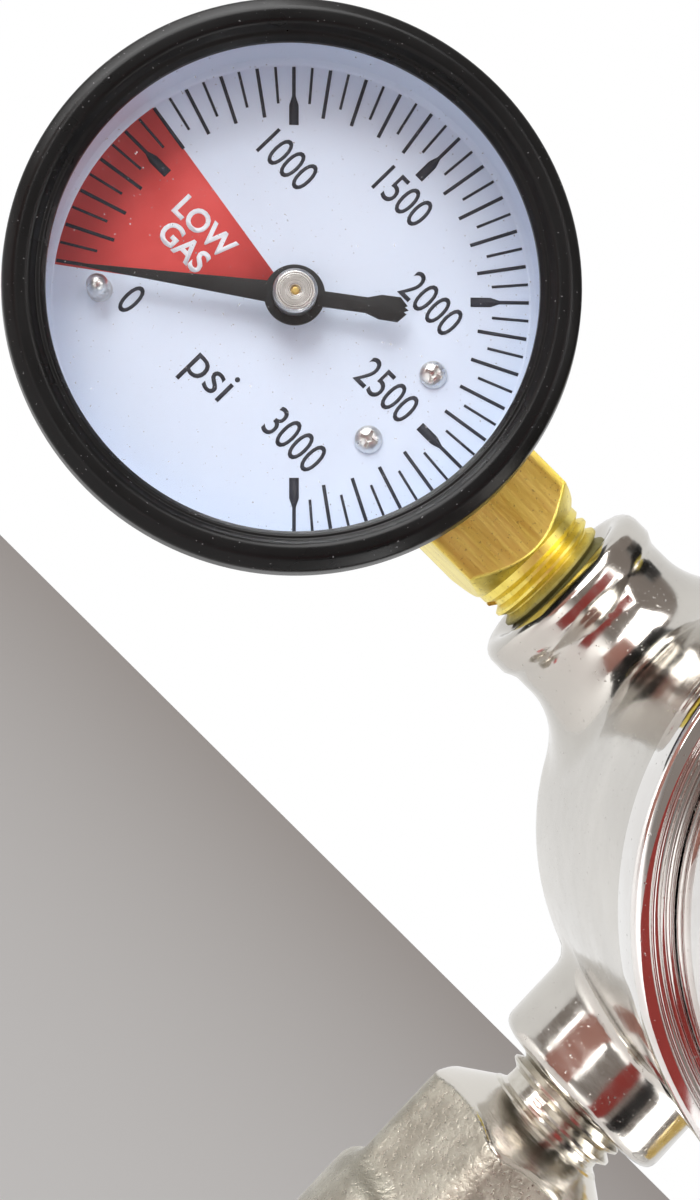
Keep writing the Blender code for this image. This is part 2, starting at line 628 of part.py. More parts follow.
def make_seat():
    """The threaded seat, the poppet that closes it and the poppet's spring."""
    outer = SEAT_BORE_RADIUS - GAP
    low = SEAT_BORE_BACK + GAP
    head_low = CHAMBER_FLOOR + GAP
    head_high = head_low + SEAT_HEAD_HEIGHT
    cavity = POPPET_RADIUS + 2 * GAP
    seat_line = head_low - 4.8 * MM
    seat = prism("valve_seat", 6, SEAT_HEAD_FLATS, head_low, head_high, "brass", body_axis,
                 turn=FORWARD)
    join(seat, rod("seat_thread", outer, low, head_low + MM, parent=body_axis, turn=FORWARD))
    cut(seat, turned("seat_cavity", [
        (0, head_high + MM), (ORIFICE_RADIUS, head_high + MM), (ORIFICE_RADIUS, seat_line + MM),
        (cavity, seat_line), (cavity, low - MM), (0, low - MM),
    ], parent=body_axis, turn=FORWARD))
    disc_top = seat_line - GAP
    disc_low = disc_top - 2.8 * MM
    spigot_low = disc_low - 1.8 * MM
    turned("poppet", [
        (0, PIN_TOP), (PIN_RADIUS, PIN_TOP), (PIN_RADIUS, disc_top), (POPPET_RADIUS, disc_top - GAP),
        (POPPET_RADIUS, disc_low), (1.6 * MM, disc_low), (1.6 * MM, spigot_low), (0, spigot_low),
    ], "brass", body_axis, turn=FORWARD)
    wire = 0.35 * MM
    coil("poppet_spring", POPPET_RADIUS - 0.7 * MM, wire, -HIGH_BORE_BACK + wire + GAP,
         disc_low - wire - GAP, 5.0, "spring_steel", body_axis, FORWARD)


# ---------------------------------------------------------------- cylinder inlet

def make_inlet():
    face = INLET_REACH - WASHER_THICKNESS - GAP
    head_back = face - HEAD_LENGTH
    thread_end = INLET_BOSS_REACH - PIPE_ENGAGED
    hex_low = INLET_BOSS_REACH + 2 * GAP
    hex_high = hex_low + 6.0 * MM
    filter_seat = face - 6.4 * MM
    filter_bore = 3.3 * MM
    nipple = turned("inlet_nipple", [
        (0, face), (HEAD_RADIUS - 0.5 * MM, face), (HEAD_RADIUS, face - 0.5 * MM),
        (HEAD_RADIUS, head_back), (SHANK_RADIUS, head_back), (SHANK_RADIUS, hex_high - MM),
        (PIPE_RADIUS, hex_high - MM), (PIPE_RADIUS, thread_end), (0, thread_end),
    ], "nickel", body_axis, turn=RIGHT)
    wrench = prism("nipple_wrench", 6, WRENCH_FLATS, hex_low, hex_high, None, body_axis, turn=RIGHT)
    join(nipple, wrench)
    cut(nipple, turned("nipple_bore", [
        (0, face + MM), (filter_bore, face + MM), (filter_bore, filter_seat),
        (PASSAGE_RADIUS, filter_seat), (PASSAGE_RADIUS, thread_end - MM), (0, thread_end - MM),
    ], parent=body_axis, turn=RIGHT))
    rod("inlet_filter", filter_bore - GAP, filter_seat + GAP, face - 0.5 * MM,
        look="brass", parent=body_axis, turn=RIGHT, sides=TINY)
    turned("inlet_washer", [
        (WASHER_HOLE, INLET_REACH), (WASHER_RADIUS, INLET_REACH),
        (WASHER_RADIUS, face + GAP), (WASHER_HOLE, face + GAP),
    ], "nylon", body_axis, turn=RIGHT, ring=True)
    nut_seat = head_back - GAP
    nut_back = nut_seat - NUT_WALL
    nut_front = nut_back + NUT_LENGTH
    nut = prism("inlet_nut", 6, NUT_FLATS, nut_back, nut_front, "nickel", body_axis, turn=RIGHT)
    chamfered(nut, NUT_FLATS, 6, nut_back, nut_front, 0.6, parent=body_axis, turn=RIGHT)
    cut(nut, turned("inlet_nut_bore", [
        (0, nut_front + MM), (NUT_BORE + 2 * MM, nut_front + MM), (NUT_BORE, nut_front - MM),
        (NUT_BORE, nut_seat), (SHANK_RADIUS + GAP, nut_seat), (SHANK_RADIUS + GAP, nut_back - MM),
        (0, nut_back - MM),
    ], parent=body_axis, turn=RIGHT, sides=ROUND))


# ---------------------------------------------------------------- shut-off valve

STEM_SHOULDER = HANDLE_BOSS_HEIGHT + 3.0 * MM
LEVER_BACK = STEM_SHOULDER + GAP
LEVER_FRONT = LEVER_BACK + LEVER_THICKNESS
LEVER_SCREW_RADIUS = 2.4 * MM
TANG_HALF = 0.8 * MM


def make_valve_body():
    cone_slope = 0.75            # axial length of the turned cone per radius
    flat = VALVE_FLATS / 2
    corner = VALVE_FLATS / math.sqrt(3) + GAP
    hex_low = VALVE_CONE_START - MM
    hex_high = BALL_CENTRE - 5.0 * MM
    thread_end = OUTLET_REACH - PIPE_ENGAGED
    body = prism("valve_body", 6, VALVE_FLATS, hex_low, hex_high, "cast_nickel", body_axis,
                 turn=DOWN)
    cone_high = VALVE_CONE_START + (corner - PIPE_RADIUS) * cone_slope
    keep_inside(body, turned("valve_cone", [
        (0, hex_high + MM), (corner, hex_high + MM), (corner, cone_high),
        (PIPE_RADIUS, VALVE_CONE_START), (PIPE_RADIUS, hex_low), (0, hex_low),
    ], parent=body_axis, turn=DOWN, sides=ROUND))
    join(
        body,
        rod("valve_thread", PIPE_RADIUS, thread_end, VALVE_CONE_START + MM,
            parent=body_axis, turn=DOWN, sides=ROUND),
        turned("valve_chamber", [
            (0, VALVE_END), (flat, VALVE_END), (VALVE_CHAMBER_RADIUS, VALVE_END - 2 * MM),
            (VALVE_CHAMBER_RADIUS, hex_high), (flat, hex_high - 1.5 * MM), (0, hex_high - 1.5 * MM),
        ], parent=body_axis, turn=DOWN, sides=ROUND),
        turned("handle_boss", [
            (0, HANDLE_BOSS_HEIGHT), (HANDLE_BOSS_RADIUS - 0.8 * MM, HANDLE_BOSS_HEIGHT),
            (HANDLE_BOSS_RADIUS, HANDLE_BOSS_HEIGHT - 0.8 * MM), (HANDLE_BOSS_RADIUS, 0), (0, 0),
        ], parent=body_axis, at=(0, 0, -BALL_CENTRE), turn=FORWARD),
    )
    channel = BALL_BORE + GAP
    cut(
        body,
        turned("valve_bore", [
            (0, VALVE_END + MM), (BALL_HOUSING, VALVE_END + MM),
            (BALL_HOUSING, BALL_CENTRE - SEAL_END - GAP), (channel, BALL_CENTRE - SEAL_END - GAP),
            (channel, thread_end - MM), (0, thread_end - MM),
        ], parent=body_axis, turn=DOWN),
        rod("valve_stem_bore", VALVE_STEM_RADIUS + GAP, 0, HANDLE_BOSS_HEIGHT + MM,
            parent=body_axis, at=(0, 0, -BALL_CENTRE), turn=FORWARD),
    )


def make_ball_and_seats():
    mesh = bpy.data.meshes.new("valve_ball")
    shape = bmesh.new()
    bmesh.ops.create_uvsphere(shape, u_segments=FINE, v_segments=12, radius=BALL_RADIUS)
    shape.to_mesh(mesh)
    shape.free()
    ball = add_piece("valve_ball", mesh, "chrome", body_axis, (0, 0, -BALL_CENTRE), DOWN)
    cut(
        ball,
        rod("ball_bore", BALL_BORE, -2 * BALL_RADIUS, 2 * BALL_RADIUS, parent=body_axis,
            at=(0, 0, -BALL_CENTRE), turn=DOWN, sides=TINY),
        box("ball_slot", (-2 * BALL_RADIUS, -BALL_CENTRE - TANG_HALF - GAP, BALL_RADIUS - 1.6 * MM),
            (2 * BALL_RADIUS, -BALL_CENTRE + TANG_HALF + GAP, 2 * BALL_RADIUS),
            parent=body_axis, turn=FORWARD),
    )
    outer = BALL_HOUSING - GAP
    slope = 2.0 / 3.9            # of the seal's face, clear of the ball
    for name, side in (("valve_seal_upper", -1), ("valve_seal_lower", 1)):
        edge = SEAL_LIP - (outer - SEAL_INNER) * slope
        levels = [(SEAL_INNER, SEAL_LIP), (outer, edge), (outer, SEAL_END), (SEAL_INNER, SEAL_END)]
        profile = [(radius, BALL_CENTRE + side * level) for radius, level in levels]
        if side > 0:
            profile = profile[::-1]
        turned(name, profile, "nylon", body_axis, turn=DOWN, ring=True)


def make_lever():
    centre = (0, -BALL_CENTRE)
    pivot = (0, 0, -BALL_CENTRE)
    stem_low = BALL_RADIUS + 0.4 * MM
    screw_top = LEVER_FRONT + 3.4 * MM
    stem = turned("valve_stem", [
        (0, screw_top), (LEVER_SCREW_RADIUS, screw_top), (LEVER_SCREW_RADIUS, STEM_SHOULDER),
        (VALVE_STEM_RADIUS, STEM_SHOULDER), (VALVE_STEM_RADIUS, stem_low), (0, stem_low),
    ], "steel", body_axis, at=pivot, turn=FORWARD)
    join(stem, box(
        "valve_tang", (-2.0 * MM, -BALL_CENTRE - TANG_HALF, BALL_RADIUS - 1.2 * MM),
        (2.0 * MM, -BALL_CENTRE + TANG_HALF, stem_low + MM), parent=body_axis, turn=FORWARD))
    hub = 7.0 * MM
    half = LEVER_WIDTH / 2
    spread = math.degrees(math.asin(half / hub))
    arm_end = -BALL_CENTRE - LEVER_LENGTH
    outline = arc(hub, -90 + spread, 270 - spread, 18, centre)
    outline += arc(half, 180, 360, 8, (0, arm_end + half))
    lever = plate("valve_lever", [outline], LEVER_BACK, LEVER_FRONT, "steel", body_axis)
    cut(lever, rod("lever_hole", LEVER_SCREW_RADIUS + GAP, LEVER_BACK - MM, LEVER_FRONT + MM,
                   parent=body_axis, at=pivot, turn=FORWARD, sides=TINY))
    nut_flats = 8.0 * MM
    nut_low = LEVER_FRONT + GAP
    nut_high = nut_low + 2.8 * MM
    nut = prism("lever_nut", 6, nut_flats, nut_low, nut_high, "steel", body_axis, at=pivot,
                turn=FORWARD)
    cut(nut, rod("lever_nut_thread", LEVER_SCREW_RADIUS + GAP, nut_low - MM, nut_high + MM,
                 parent=body_axis, at=pivot, turn=FORWARD, sides=TINY))
    skin = 1.5 * MM
    grip_top = arm_end + GRIP_LENGTH
    grip = plate("lever_grip", [
        arc(half + GAP + skin, 180, 360, 10, (0, arm_end + half))
        + [(half + GAP + skin, grip_top), (-half - GAP - skin, grip_top)]
    ], LEVER_BACK - GAP - skin, LEVER_FRONT + GAP + skin, "red_vinyl", body_axis)
    cut(grip, plate("grip_hollow", [
        arc(half + GAP, 180, 360, 8, (0, arm_end + half))
        + [(half + GAP, grip_top + MM), (-half - GAP, grip_top + MM)]
    ], LEVER_BACK - GAP, LEVER_FRONT + GAP, None, body_axis))


def make_hose_adapter():
    spigot_low = BALL_CENTRE + SEAL_END + GAP
    hex_low = VALVE_END + GAP
    hex_high = hex_low + ADAPTER_HEX
    lip = 1.6 * MM
    lip_end = spigot_low + 1.5 * MM
    adapter = prism("hose_adapter", 6, ADAPTER_FLATS, hex_low, hex_high, "nickel", body_axis,
                    turn=DOWN)
    chamfered(adapter, ADAPTER_FLATS, 6, hex_low, hex_high, 0.6, parent=body_axis, turn=DOWN)
    tail = hex_high + 3.0 * MM
    barb_end = tail + BARB_COUNT * BARB_PITCH
    barbs = [(0, barb_end), (BARB_ROOT, barb_end)]
    for i in range(BARB_COUNT):
        foot = barb_end - (i + 1) * BARB_PITCH
        barbs += [(BARB_CREST, foot + 0.6 * MM), (BARB_ROOT, foot)]
    barbs += [(BARB_ROOT, hex_high - MM), (0, hex_high - MM)]
    join(
        adapter,
        rod("adapter_spigot", BALL_HOUSING - GAP, spigot_low, hex_low + MM, parent=body_axis,
            turn=DOWN),
        turned("barbs", barbs, parent=body_axis, turn=DOWN),
    )
    cut(adapter, turned("adapter_bore", [
        (0, barb_end + MM), (BARB_BORE, barb_end + MM), (BARB_BORE, lip_end), (lip, lip_end),
        (lip, spigot_low - MM), (0, spigot_low - MM),
    ], parent=body_axis, turn=DOWN, sides=TINY))
    radius = 2.0 * MM
    centre = lip_end + math.sqrt(radius ** 2 - lip ** 2) + GAP
    mesh = bpy.data.meshes.new("check_ball")
    shape = bmesh.new()
    bmesh.ops.create_uvsphere(shape, u_segments=12, v_segments=8, radius=radius)
    shape.to_mesh(mesh)
    shape.free()
    add_piece("check_ball", mesh, "rubber", body_axis, (0, 0, -centre), DOWN)
    stop = centre + radius + 2.2 * MM
    turned("check_retainer", [
        (1.2 * MM, stop + 1.2 * MM), (BARB_BORE - GAP, stop + 1.2 * MM), (BARB_BORE - GAP, stop),
        (1.2 * MM, stop),
    ], "brass", body_axis, turn=DOWN, sides=TINY, ring=True)


# ---------------------------------------------------------------- relief valve

def make_relief_valve():
    here = {"parent": body_axis, "turn": LOWER_RIGHT}
    thread_low = RELIEF_REACH - 8.0 * MM
    hex_low = RELIEF_REACH + GAP
    hex_high = hex_low + 5.7 * MM
    seat = RELIEF_REACH - 3.0 * MM
    rod_radius = 1.4 * MM
    bore = 4.0 * MM
    body = prism("relief_body", 6, WRENCH_FLATS, hex_low, hex_high, "brass", **here)
    chamfered(body, WRENCH_FLATS, 6, hex_low, hex_high, 0.6, **here)
    join(
        body,
        rod("relief_thread", RELIEF_THREAD_RADIUS, thread_low, hex_low + MM, **here),
        turned("relief_barrel", [
            (0, RELIEF_TOP), (RELIEF_BARREL_RADIUS - MM, RELIEF_TOP),
            (RELIEF_BARREL_RADIUS, RELIEF_TOP - MM), (RELIEF_BARREL_RADIUS, hex_high - MM),
            (0, hex_high - MM),
        ], **here),
    )
    cut(
        body,
        turned("relief_bore", [
            (0, RELIEF_TOP + MM), (rod_radius + GAP, RELIEF_TOP + MM),
            (rod_radius + GAP, RELIEF_TOP - 1.5 * MM), (bore, RELIEF_TOP - 1.5 * MM),
            (bore, seat), (1.5 * MM, seat), (1.5 * MM, thread_low - MM), (0, thread_low - MM),
        ], sides=FINE, **here),
        box("relief_vent", (-0.9 * MM, -RELIEF_BARREL_RADIUS - MM, hex_high + 2 * MM),
            (0.9 * MM, RELIEF_BARREL_RADIUS + MM, hex_high + 3.8 * MM), **here),
    )
    disc_top = seat + GAP + 2.2 * MM
    knob = 2.8 * MM
    stem = turned("relief_stem", [
        (0, RELIEF_EYE + knob), (0.6 * knob, RELIEF_EYE + 0.8 * knob), (knob, RELIEF_EYE),
        (0.8 * knob, RELIEF_EYE - 0.6 * knob), (rod_radius, RELIEF_EYE - 0.85 * knob),
        (rod_radius, disc_top), (bore - 2 * GAP, disc_top), (bore - 2 * GAP, seat + GAP),
        (0, seat + GAP),
    ], "brass", sides=FINE, **here)
    cheek = 1.2 * MM
    cut(
        stem,
        box("eye_cheek_front", (-2 * knob, -2 * knob, RELIEF_EYE - 0.9 * knob),
            (2 * knob, -cheek, RELIEF_EYE + 2 * knob), **here),
        box("eye_cheek_back", (-2 * knob, cheek, RELIEF_EYE - 0.9 * knob),
            (2 * knob, 2 * knob, RELIEF_EYE + 2 * knob), **here),
        rod("eye_hole", RING_WIRE + 0.5 * MM, -2 * knob, 2 * knob, parent=body_axis,
            at=(RELIEF_EYE * math.sqrt(0.5), 0, -RELIEF_EYE * math.sqrt(0.5)), turn=FORWARD,
            sides=TINY),
    )
    wire = 0.45 * MM
    coil("relief_spring", 2.6 * MM, wire, disc_top + wire + GAP,
         RELIEF_TOP - 1.5 * MM - wire - GAP, 5.0, "spring_steel", body_axis, LOWER_RIGHT)
    bpy.ops.mesh.primitive_torus_add(
        major_segments=28, minor_segments=6, major_radius=RING_RADIUS, minor_radius=RING_WIRE
    )
    ring = bpy.context.active_object
    ring.name = "relief_ring"
    for collection in list(ring.users_collection):
        collection.objects.unlink(ring)
    PARTS.objects.link(ring)
    ring.data.materials.append(finish("steel"))
    eye = RELIEF_EYE * math.sqrt(0.5)
    settle(ring, body_axis, (eye, 0, -eye - RING_RADIUS), (0, 90, 0))


# ---------------------------------------------------------------- gauges

LIP_BACK = BEZEL_FRONT - 2.3 * MM
LENS_FRONT = LIP_BACK - GAP
DIAL_BACK = DIAL_FRONT - DIAL_THICKNESS
SOCKET_FRONT = DIAL_BACK - 0.4 * MM
SOCKET_BACK = 5.5 * MM
FRONT_PLATE = (6.6 * MM, 7.6 * MM)
BACK_PLATE = (-4.0 * MM, -3.0 * MM)
SECTOR_LEVEL = (1.2 * MM, 2.2 * MM)
LINK_LEVEL = (-0.6 * MM, 0.2 * MM)
TAB_LEVEL = (-2.4 * MM, -1.2 * MM)
SECTOR_PIVOT = (0, SECTOR_RADIUS + PINION_RADIUS + GAP)


def polar(radius, degrees, centre=(0, 0)):
    return arc(radius, degrees, degrees, 1, centre)[0]


def toothed_arc(tip, root, start, end, teeth, centre=(0, 0)):
    """Trapezium teeth between two angles, in degrees."""
    step = (end - start) / teeth
    points = []
    for i in range(teeth):
        first = start + i * step
        for radius, share in ((root, 0.08), (tip, 0.34), (tip, 0.66), (root, 0.92)):
            points.append(polar(radius, first + share * step, centre))
    return points


def make_case(prefix, gauge):
    inner = CASE_RADIUS - CASE_WALL
    case = turned(prefix + "_case", [
        (0, CASE_WALL - CASE_BACK), (inner, CASE_WALL - CASE_BACK), (inner, CASE_FRONT),
        (CASE_RADIUS, CASE_FRONT), (CASE_RADIUS, 1.5 * MM - CASE_BACK),
        (CASE_RADIUS - 1.5 * MM, -CASE_BACK), (0, -CASE_BACK),
    ], "black_paint", gauge, turn=FORWARD, sides=WIDE)
    half = STEM_FLATS / 2 + GAP
    cut(case, box(prefix + "_stem_hole", (SOCKET_OUTER, -half, -half),
                  (CASE_RADIUS + 2 * MM, half, half), parent=gauge, turn=FORWARD))
    over = CASE_RADIUS + GAP
    turned(prefix + "_bezel", [
        (WINDOW_RADIUS + 0.9 * MM, BEZEL_FRONT - 0.5 * MM),
        (WINDOW_RADIUS + 2.0 * MM, BEZEL_FRONT), (BEZEL_RADIUS - 1.0 * MM, BEZEL_FRONT - 0.2 * MM),
        (BEZEL_RADIUS - 0.3 * MM, BEZEL_FRONT - 0.8 * MM), (BEZEL_RADIUS, BEZEL_FRONT - 1.8 * MM),
        (BEZEL_RADIUS, DIAL_FRONT - 0.3 * MM), (over, DIAL_FRONT - 0.3 * MM), (over, LIP_BACK),
        (WINDOW_RADIUS, LIP_BACK), (WINDOW_RADIUS, BEZEL_FRONT - 1.6 * MM),
    ], "black_paint", gauge, turn=FORWARD, sides=WIDE, ring=True)
    rod(prefix + "_lens", CASE_RADIUS - GAP, LENS_FRONT - LENS_THICKNESS, LENS_FRONT,
        look="lens", parent=gauge, turn=FORWARD, sides=WIDE)


def make_dial(prefix, gauge, zero):
    """The dial, its two screws and the pin that the pointer rests on."""
    dial = rod(prefix + "_dial", CASE_RADIUS - CASE_WALL - GAP, DIAL_BACK, DIAL_FRONT,
               look="dial_white", parent=gauge, turn=FORWARD, sides=WIDE)
    cut(dial, rod(prefix + "_dial_hole", 1.9 * MM, DIAL_BACK - MM, DIAL_FRONT + MM,
                  parent=gauge, turn=FORWARD, sides=TINY))
    clear = DIAL_SCREW_RADIUS + GAP
    holes = []
    for number, side in ((1, 1), (2, -1)):
        at = (DIAL_SCREW_REACH, 0, side * DIAL_SCREW_SPREAD)
        label = prefix + "_dial_screw_" + str(number)
        low = DIAL_FRONT + GAP
        screw = turned(label, [
            (0, low + 1.1 * MM), (0.7 * DIAL_SCREW_HEAD, low + 0.9 * MM),
            (DIAL_SCREW_HEAD, low + 0.4 * MM), (DIAL_SCREW_HEAD, low), (DIAL_SCREW_RADIUS, low),
            (DIAL_SCREW_RADIUS, low - 4.0 * MM), (0, low - 4.0 * MM),
        ], "steel", gauge, at=at, turn=FORWARD, sides=TINY)
        for blade, (wide, tall) in enumerate(((0.8, 0.2), (0.2, 0.8))):
            cut(screw, box(
                label + "_cross_" + str(blade),
                (at[0] - wide * MM, at[2] - tall * MM, low + 0.6 * MM),
                (at[0] + wide * MM, at[2] + tall * MM, low + 2 * MM), parent=gauge, turn=FORWARD))
        holes.append(rod(label + "_hole", clear, DIAL_FRONT - 5.6 * MM, DIAL_FRONT + MM,
                         parent=gauge, at=at, turn=FORWARD, sides=TINY))
    bearing = math.radians(zero - STOP_BEFORE_ZERO)
    at = (STOP_REACH * math.sin(bearing), 0, STOP_REACH * math.cos(bearing))
    low = DIAL_FRONT + GAP
    shank = 0.55 * MM
    turned(prefix + "_stop_pin", [
        (0, POINTER_FRONT + 0.7 * MM), (0.7 * STOP_RADIUS, POINTER_FRONT + 0.4 * MM),
        (STOP_RADIUS, POINTER_FRONT - 0.2 * MM), (STOP_RADIUS, low), (shank, low),
        (shank, DIAL_BACK - 0.6 * MM), (0, DIAL_BACK - 0.6 * MM),
    ], "steel", gauge, at=at, turn=FORWARD, sides=TINY)
    cut(dial, *holes, rod(prefix + "_stop_hole", shank + GAP, DIAL_BACK - MM, DIAL_FRONT + MM,
                          parent=gauge, at=at, turn=FORWARD, sides=TINY))
    return holes


def make_pointer(prefix, gauge, zero):
    """The pointer along its own +X, turned to its zero, and the arbor that carries it."""
    root_half, tip_half = 1.0 * MM, 0.12 * MM
    neck, tail_half = 0.75 * MM, 1.2 * MM
    root_angle = math.degrees(math.asin(root_half / POINTER_HUB))
    neck_angle = math.degrees(math.asin(neck / POINTER_HUB))
    outline = [(POINTER_LENGTH, -tip_half), (POINTER_LENGTH, tip_half)]
    outline += arc(POINTER_HUB, root_angle, 180 - neck_angle, 8)
    shoulder = POINTER_TAIL - 4.0 * MM
    outline += [(-shoulder, neck), (-shoulder - 0.8 * MM, tail_half)]
    outline += [(0.9 * MM - POINTER_TAIL, tail_half), (-POINTER_TAIL, 0)]
    outline += [(0.9 * MM - POINTER_TAIL, -tail_half), (-shoulder - 0.8 * MM, -tail_half)]
    outline += [(-shoulder, -neck)]
    outline += arc(POINTER_HUB, 180 + neck_angle, 360 - root_angle, 8)
    neck_radius = ARBOR_RADIUS + 0.25 * MM
    hole = circle(neck_radius + GAP, 12)
    pointer_back = POINTER_FRONT - POINTER_THICKNESS
    heading = empty(prefix + "_zero", gauge, turn=(0, zero - 90, 0))
    plate(prefix + "_pointer", [outline, hole], pointer_back, POINTER_FRONT, "black_paint",
          heading)
    cap = POINTER_FRONT + GAP
    arbor = turned(prefix + "_pointer_arbor", [
        (0, HUB_FRONT), (HUB_RADIUS - 0.4 * MM, HUB_FRONT), (HUB_RADIUS, HUB_FRONT - 0.4 * MM),
        (HUB_RADIUS, cap), (neck_radius, cap), (neck_radius, pointer_back - GAP),
        (HUB_RADIUS, pointer_back - GAP), (HUB_RADIUS, pointer_back - 2.5 * GAP),
        (ARBOR_RADIUS, pointer_back - 2.5 * GAP), (ARBOR_RADIUS, BACK_PLATE[0] + 0.2 * MM),
        (0, BACK_PLATE[0] + 0.2 * MM),
    ], "nickel", gauge, turn=FORWARD, sides=12)
    teeth = toothed_arc(PINION_RADIUS, PINION_RADIUS - 0.35 * MM, 0, 360, PINION_TEETH)
    join(arbor, plate(prefix + "_pinion", [teeth], SECTOR_LEVEL[0] - 0.5 * MM,
                      SECTOR_LEVEL[1] + 0.5 * MM, None, gauge))


def make_movement(prefix, gauge):
    """Sector gear, link, Bourdon tube and the two-plate frame that carries the arbors."""
    swing = POINTER_SWEEP / SECTOR_RATIO
    pin_hole = LINK_PIN + GAP
    tail_rest = 90 - swing / 2
    tail = polar(TAIL_LENGTH, tail_rest, SECTOR_PIVOT)
    outline = toothed_arc(
        SECTOR_RADIUS, SECTOR_RADIUS - 0.6 * MM, 270 - swing - 6, 276, SECTOR_TEETH, SECTOR_PIVOT
    )
    outline += arc(1.7 * MM, -30, tail_rest - 50, 3, SECTOR_PIVOT)
    outline += arc(1.2 * MM, tail_rest - 90, tail_rest + 90, 6, tail)
    outline += arc(1.7 * MM, tail_rest + 50, 180, 3, SECTOR_PIVOT)
    sector = plate(prefix + "_sector_gear", [outline], *SECTOR_LEVEL, "brass", gauge)
    pivot_at = (SECTOR_PIVOT[0], 0, SECTOR_PIVOT[1])
    join(
        sector,
        rod(prefix + "_sector_arbor", ARBOR_RADIUS, BACK_PLATE[0] + 0.2 * MM,
            FRONT_PLATE[1] - 0.2 * MM, parent=gauge, at=pivot_at, turn=FORWARD, sides=TINY),
        rod(prefix + "_tail_pin", LINK_PIN, LINK_LEVEL[0] - GAP, SECTOR_LEVEL[0] + 0.5 * MM,
            parent=gauge, at=(tail[0], 0, tail[1]), turn=FORWARD, sides=12),
    )
    tip_angle, tube_start, tube_end = 119, 330, 140
    tip = polar(TUBE_RADIUS - 1.0 * MM, tip_angle)
    travel = 2 * TAIL_LENGTH * math.sin(math.radians(swing / 2)) + GAP
    reach = math.dist(tip, tail)
    slot_end = tuple(tip[i] + (tail[i] - tip[i]) * travel / reach for i in (0, 1))
    plate(prefix + "_link", [
        slot(tip, tail, 1.5 * MM), circle(pin_hole, 10, tail), slot(tip, slot_end, pin_hole, 5)
    ], *LINK_LEVEL, "brass", gauge)
    inside, outside = TUBE_RADIUS - TUBE_HALF_THICK, TUBE_RADIUS + TUBE_HALF_THICK
    tube = plate(prefix + "_bourdon_tube", [
        arc(outside, tube_end, tube_start, 26) + arc(inside, tube_start, tube_end, 26)
    ], -TUBE_HALF_DEEP, TUBE_HALF_DEEP, "brass", gauge)
    tab_in, tab_out = TUBE_RADIUS - 1.9 * MM, TUBE_RADIUS - 0.1 * MM
    join(
        tube,
        plate(prefix + "_tip_tab", [
            arc(tab_out, tip_angle - 3, tube_end + 6, 5) + arc(tab_in, tube_end + 6, tip_angle - 3, 5)
        ], *TAB_LEVEL, None, gauge),
        rod(prefix + "_tip_pin", LINK_PIN, TAB_LEVEL[1] - 0.5 * MM, LINK_LEVEL[1] + GAP,
            parent=gauge, at=(tip[0], 0, tip[1]), turn=FORWARD, sides=12),
    )
    right = SOCKET_INNER - 2 * GAP
    left, bottom, top = -3.6 * MM, -4.2 * MM, SECTOR_PIVOT[1] + 2.4 * MM
    sheet = [(left, bottom), (right, bottom), (right, top), (left, top)]
    frame = plate(prefix + "_movement_frame", [sheet], *FRONT_PLATE, "brass", gauge)
    join(frame, plate(prefix + "_back_plate", [sheet], *BACK_PLATE, None, gauge))
    for number, height in enumerate((bottom + 1.6 * MM, top - 1.6 * MM)):
        join(frame, rod(
            prefix + "_pillar_" + str(number), 1.1 * MM, BACK_PLATE[0] + 0.5 * MM,
            FRONT_PLATE[1] - 0.5 * MM, parent=gauge, at=(right - 1.6 * MM, 0, height),
            turn=FORWARD, sides=12))
    for number, at in enumerate(((0, 0, 0), pivot_at)):
        cut(frame, rod(
            prefix + "_arbor_hole_" + str(number), ARBOR_RADIUS + GAP, BACK_PLATE[0] - MM,
            FRONT_PLATE[1] + MM, parent=gauge, at=at, turn=FORWARD, sides=TINY))


def make_socket(prefix, gauge, screw_holes):
    """The socket block inside the case, its square stem and its pipe thread, along +X."""
    half = STEM_FLATS / 2
    thread_end = GAUGE_REACH - GAUGE_BOSS_REACH + PIPE_ENGAGED
    stem = prism(prefix + "_socket", 4, STEM_FLATS, SOCKET_OUTER - MM, STEM_SQUARE_END, "brass",
                 gauge, turn=RIGHT, spin=45)
    foot = PIPE_RADIUS + 0.1 * MM
    corner = half * math.sqrt(2) + GAP
    keep_inside(stem, turned(prefix + "_stem_chamfer", [
        (0, STEM_SQUARE_END), (foot, STEM_SQUARE_END),
        (corner, STEM_SQUARE_END - (corner - foot) * 0.92), (corner, SOCKET_OUTER - MM),
        (0, SOCKET_OUTER - MM),
    ], parent=gauge, turn=RIGHT, sides=ROUND))
    join(
        stem,
        box(prefix + "_socket_block", (SOCKET_INNER, -SOCKET_HALF_WIDTH, -SOCKET_BACK),
            (SOCKET_OUTER, SOCKET_HALF_WIDTH, SOCKET_FRONT), parent=gauge, turn=FORWARD),
        rod(prefix + "_stem_thread", PIPE_RADIUS, STEM_SQUARE_END - MM, thread_end,
            parent=gauge, turn=RIGHT, sides=ROUND),
    )
    cut(stem, rod(prefix + "_stem_bore", 1.5 * MM, SOCKET_INNER + 2 * MM, thread_end + MM,
                  parent=gauge, turn=RIGHT, sides=12), *screw_holes)


def make_gauge(prefix, at, turn, zero):
    """A whole gauge; its stem leaves along its own +X, and turn is that way in degrees."""
    gauge = empty(prefix, body_axis, at=at, turn=(0, turn, 0))
    make_case(prefix, gauge)
    screw_holes = make_dial(prefix, gauge, zero - turn)
    make_pointer(prefix, gauge, zero - turn)
    make_movement(prefix, gauge)
    make_socket(prefix, gauge, screw_holes)


make_body()
make_bonnet()
make_diaphragm_stack()
make_adjusting_screw()
make_seat()
make_inlet()
make_valve_body()
make_ball_and_seats()
make_lever()
make_hose_adapter()
make_relief_valve()
make_gauge("tank_gauge", (-GAUGE_REACH, 0, 0), 0, TANK_ZERO)
make_gauge("output_gauge", (0, 0, GAUGE_REACH), 90, OUTPUT_ZERO)
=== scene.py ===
import json
import math

import bmesh
import bpy
import numpy as np
from mathutils import Euler, Matrix, Vector


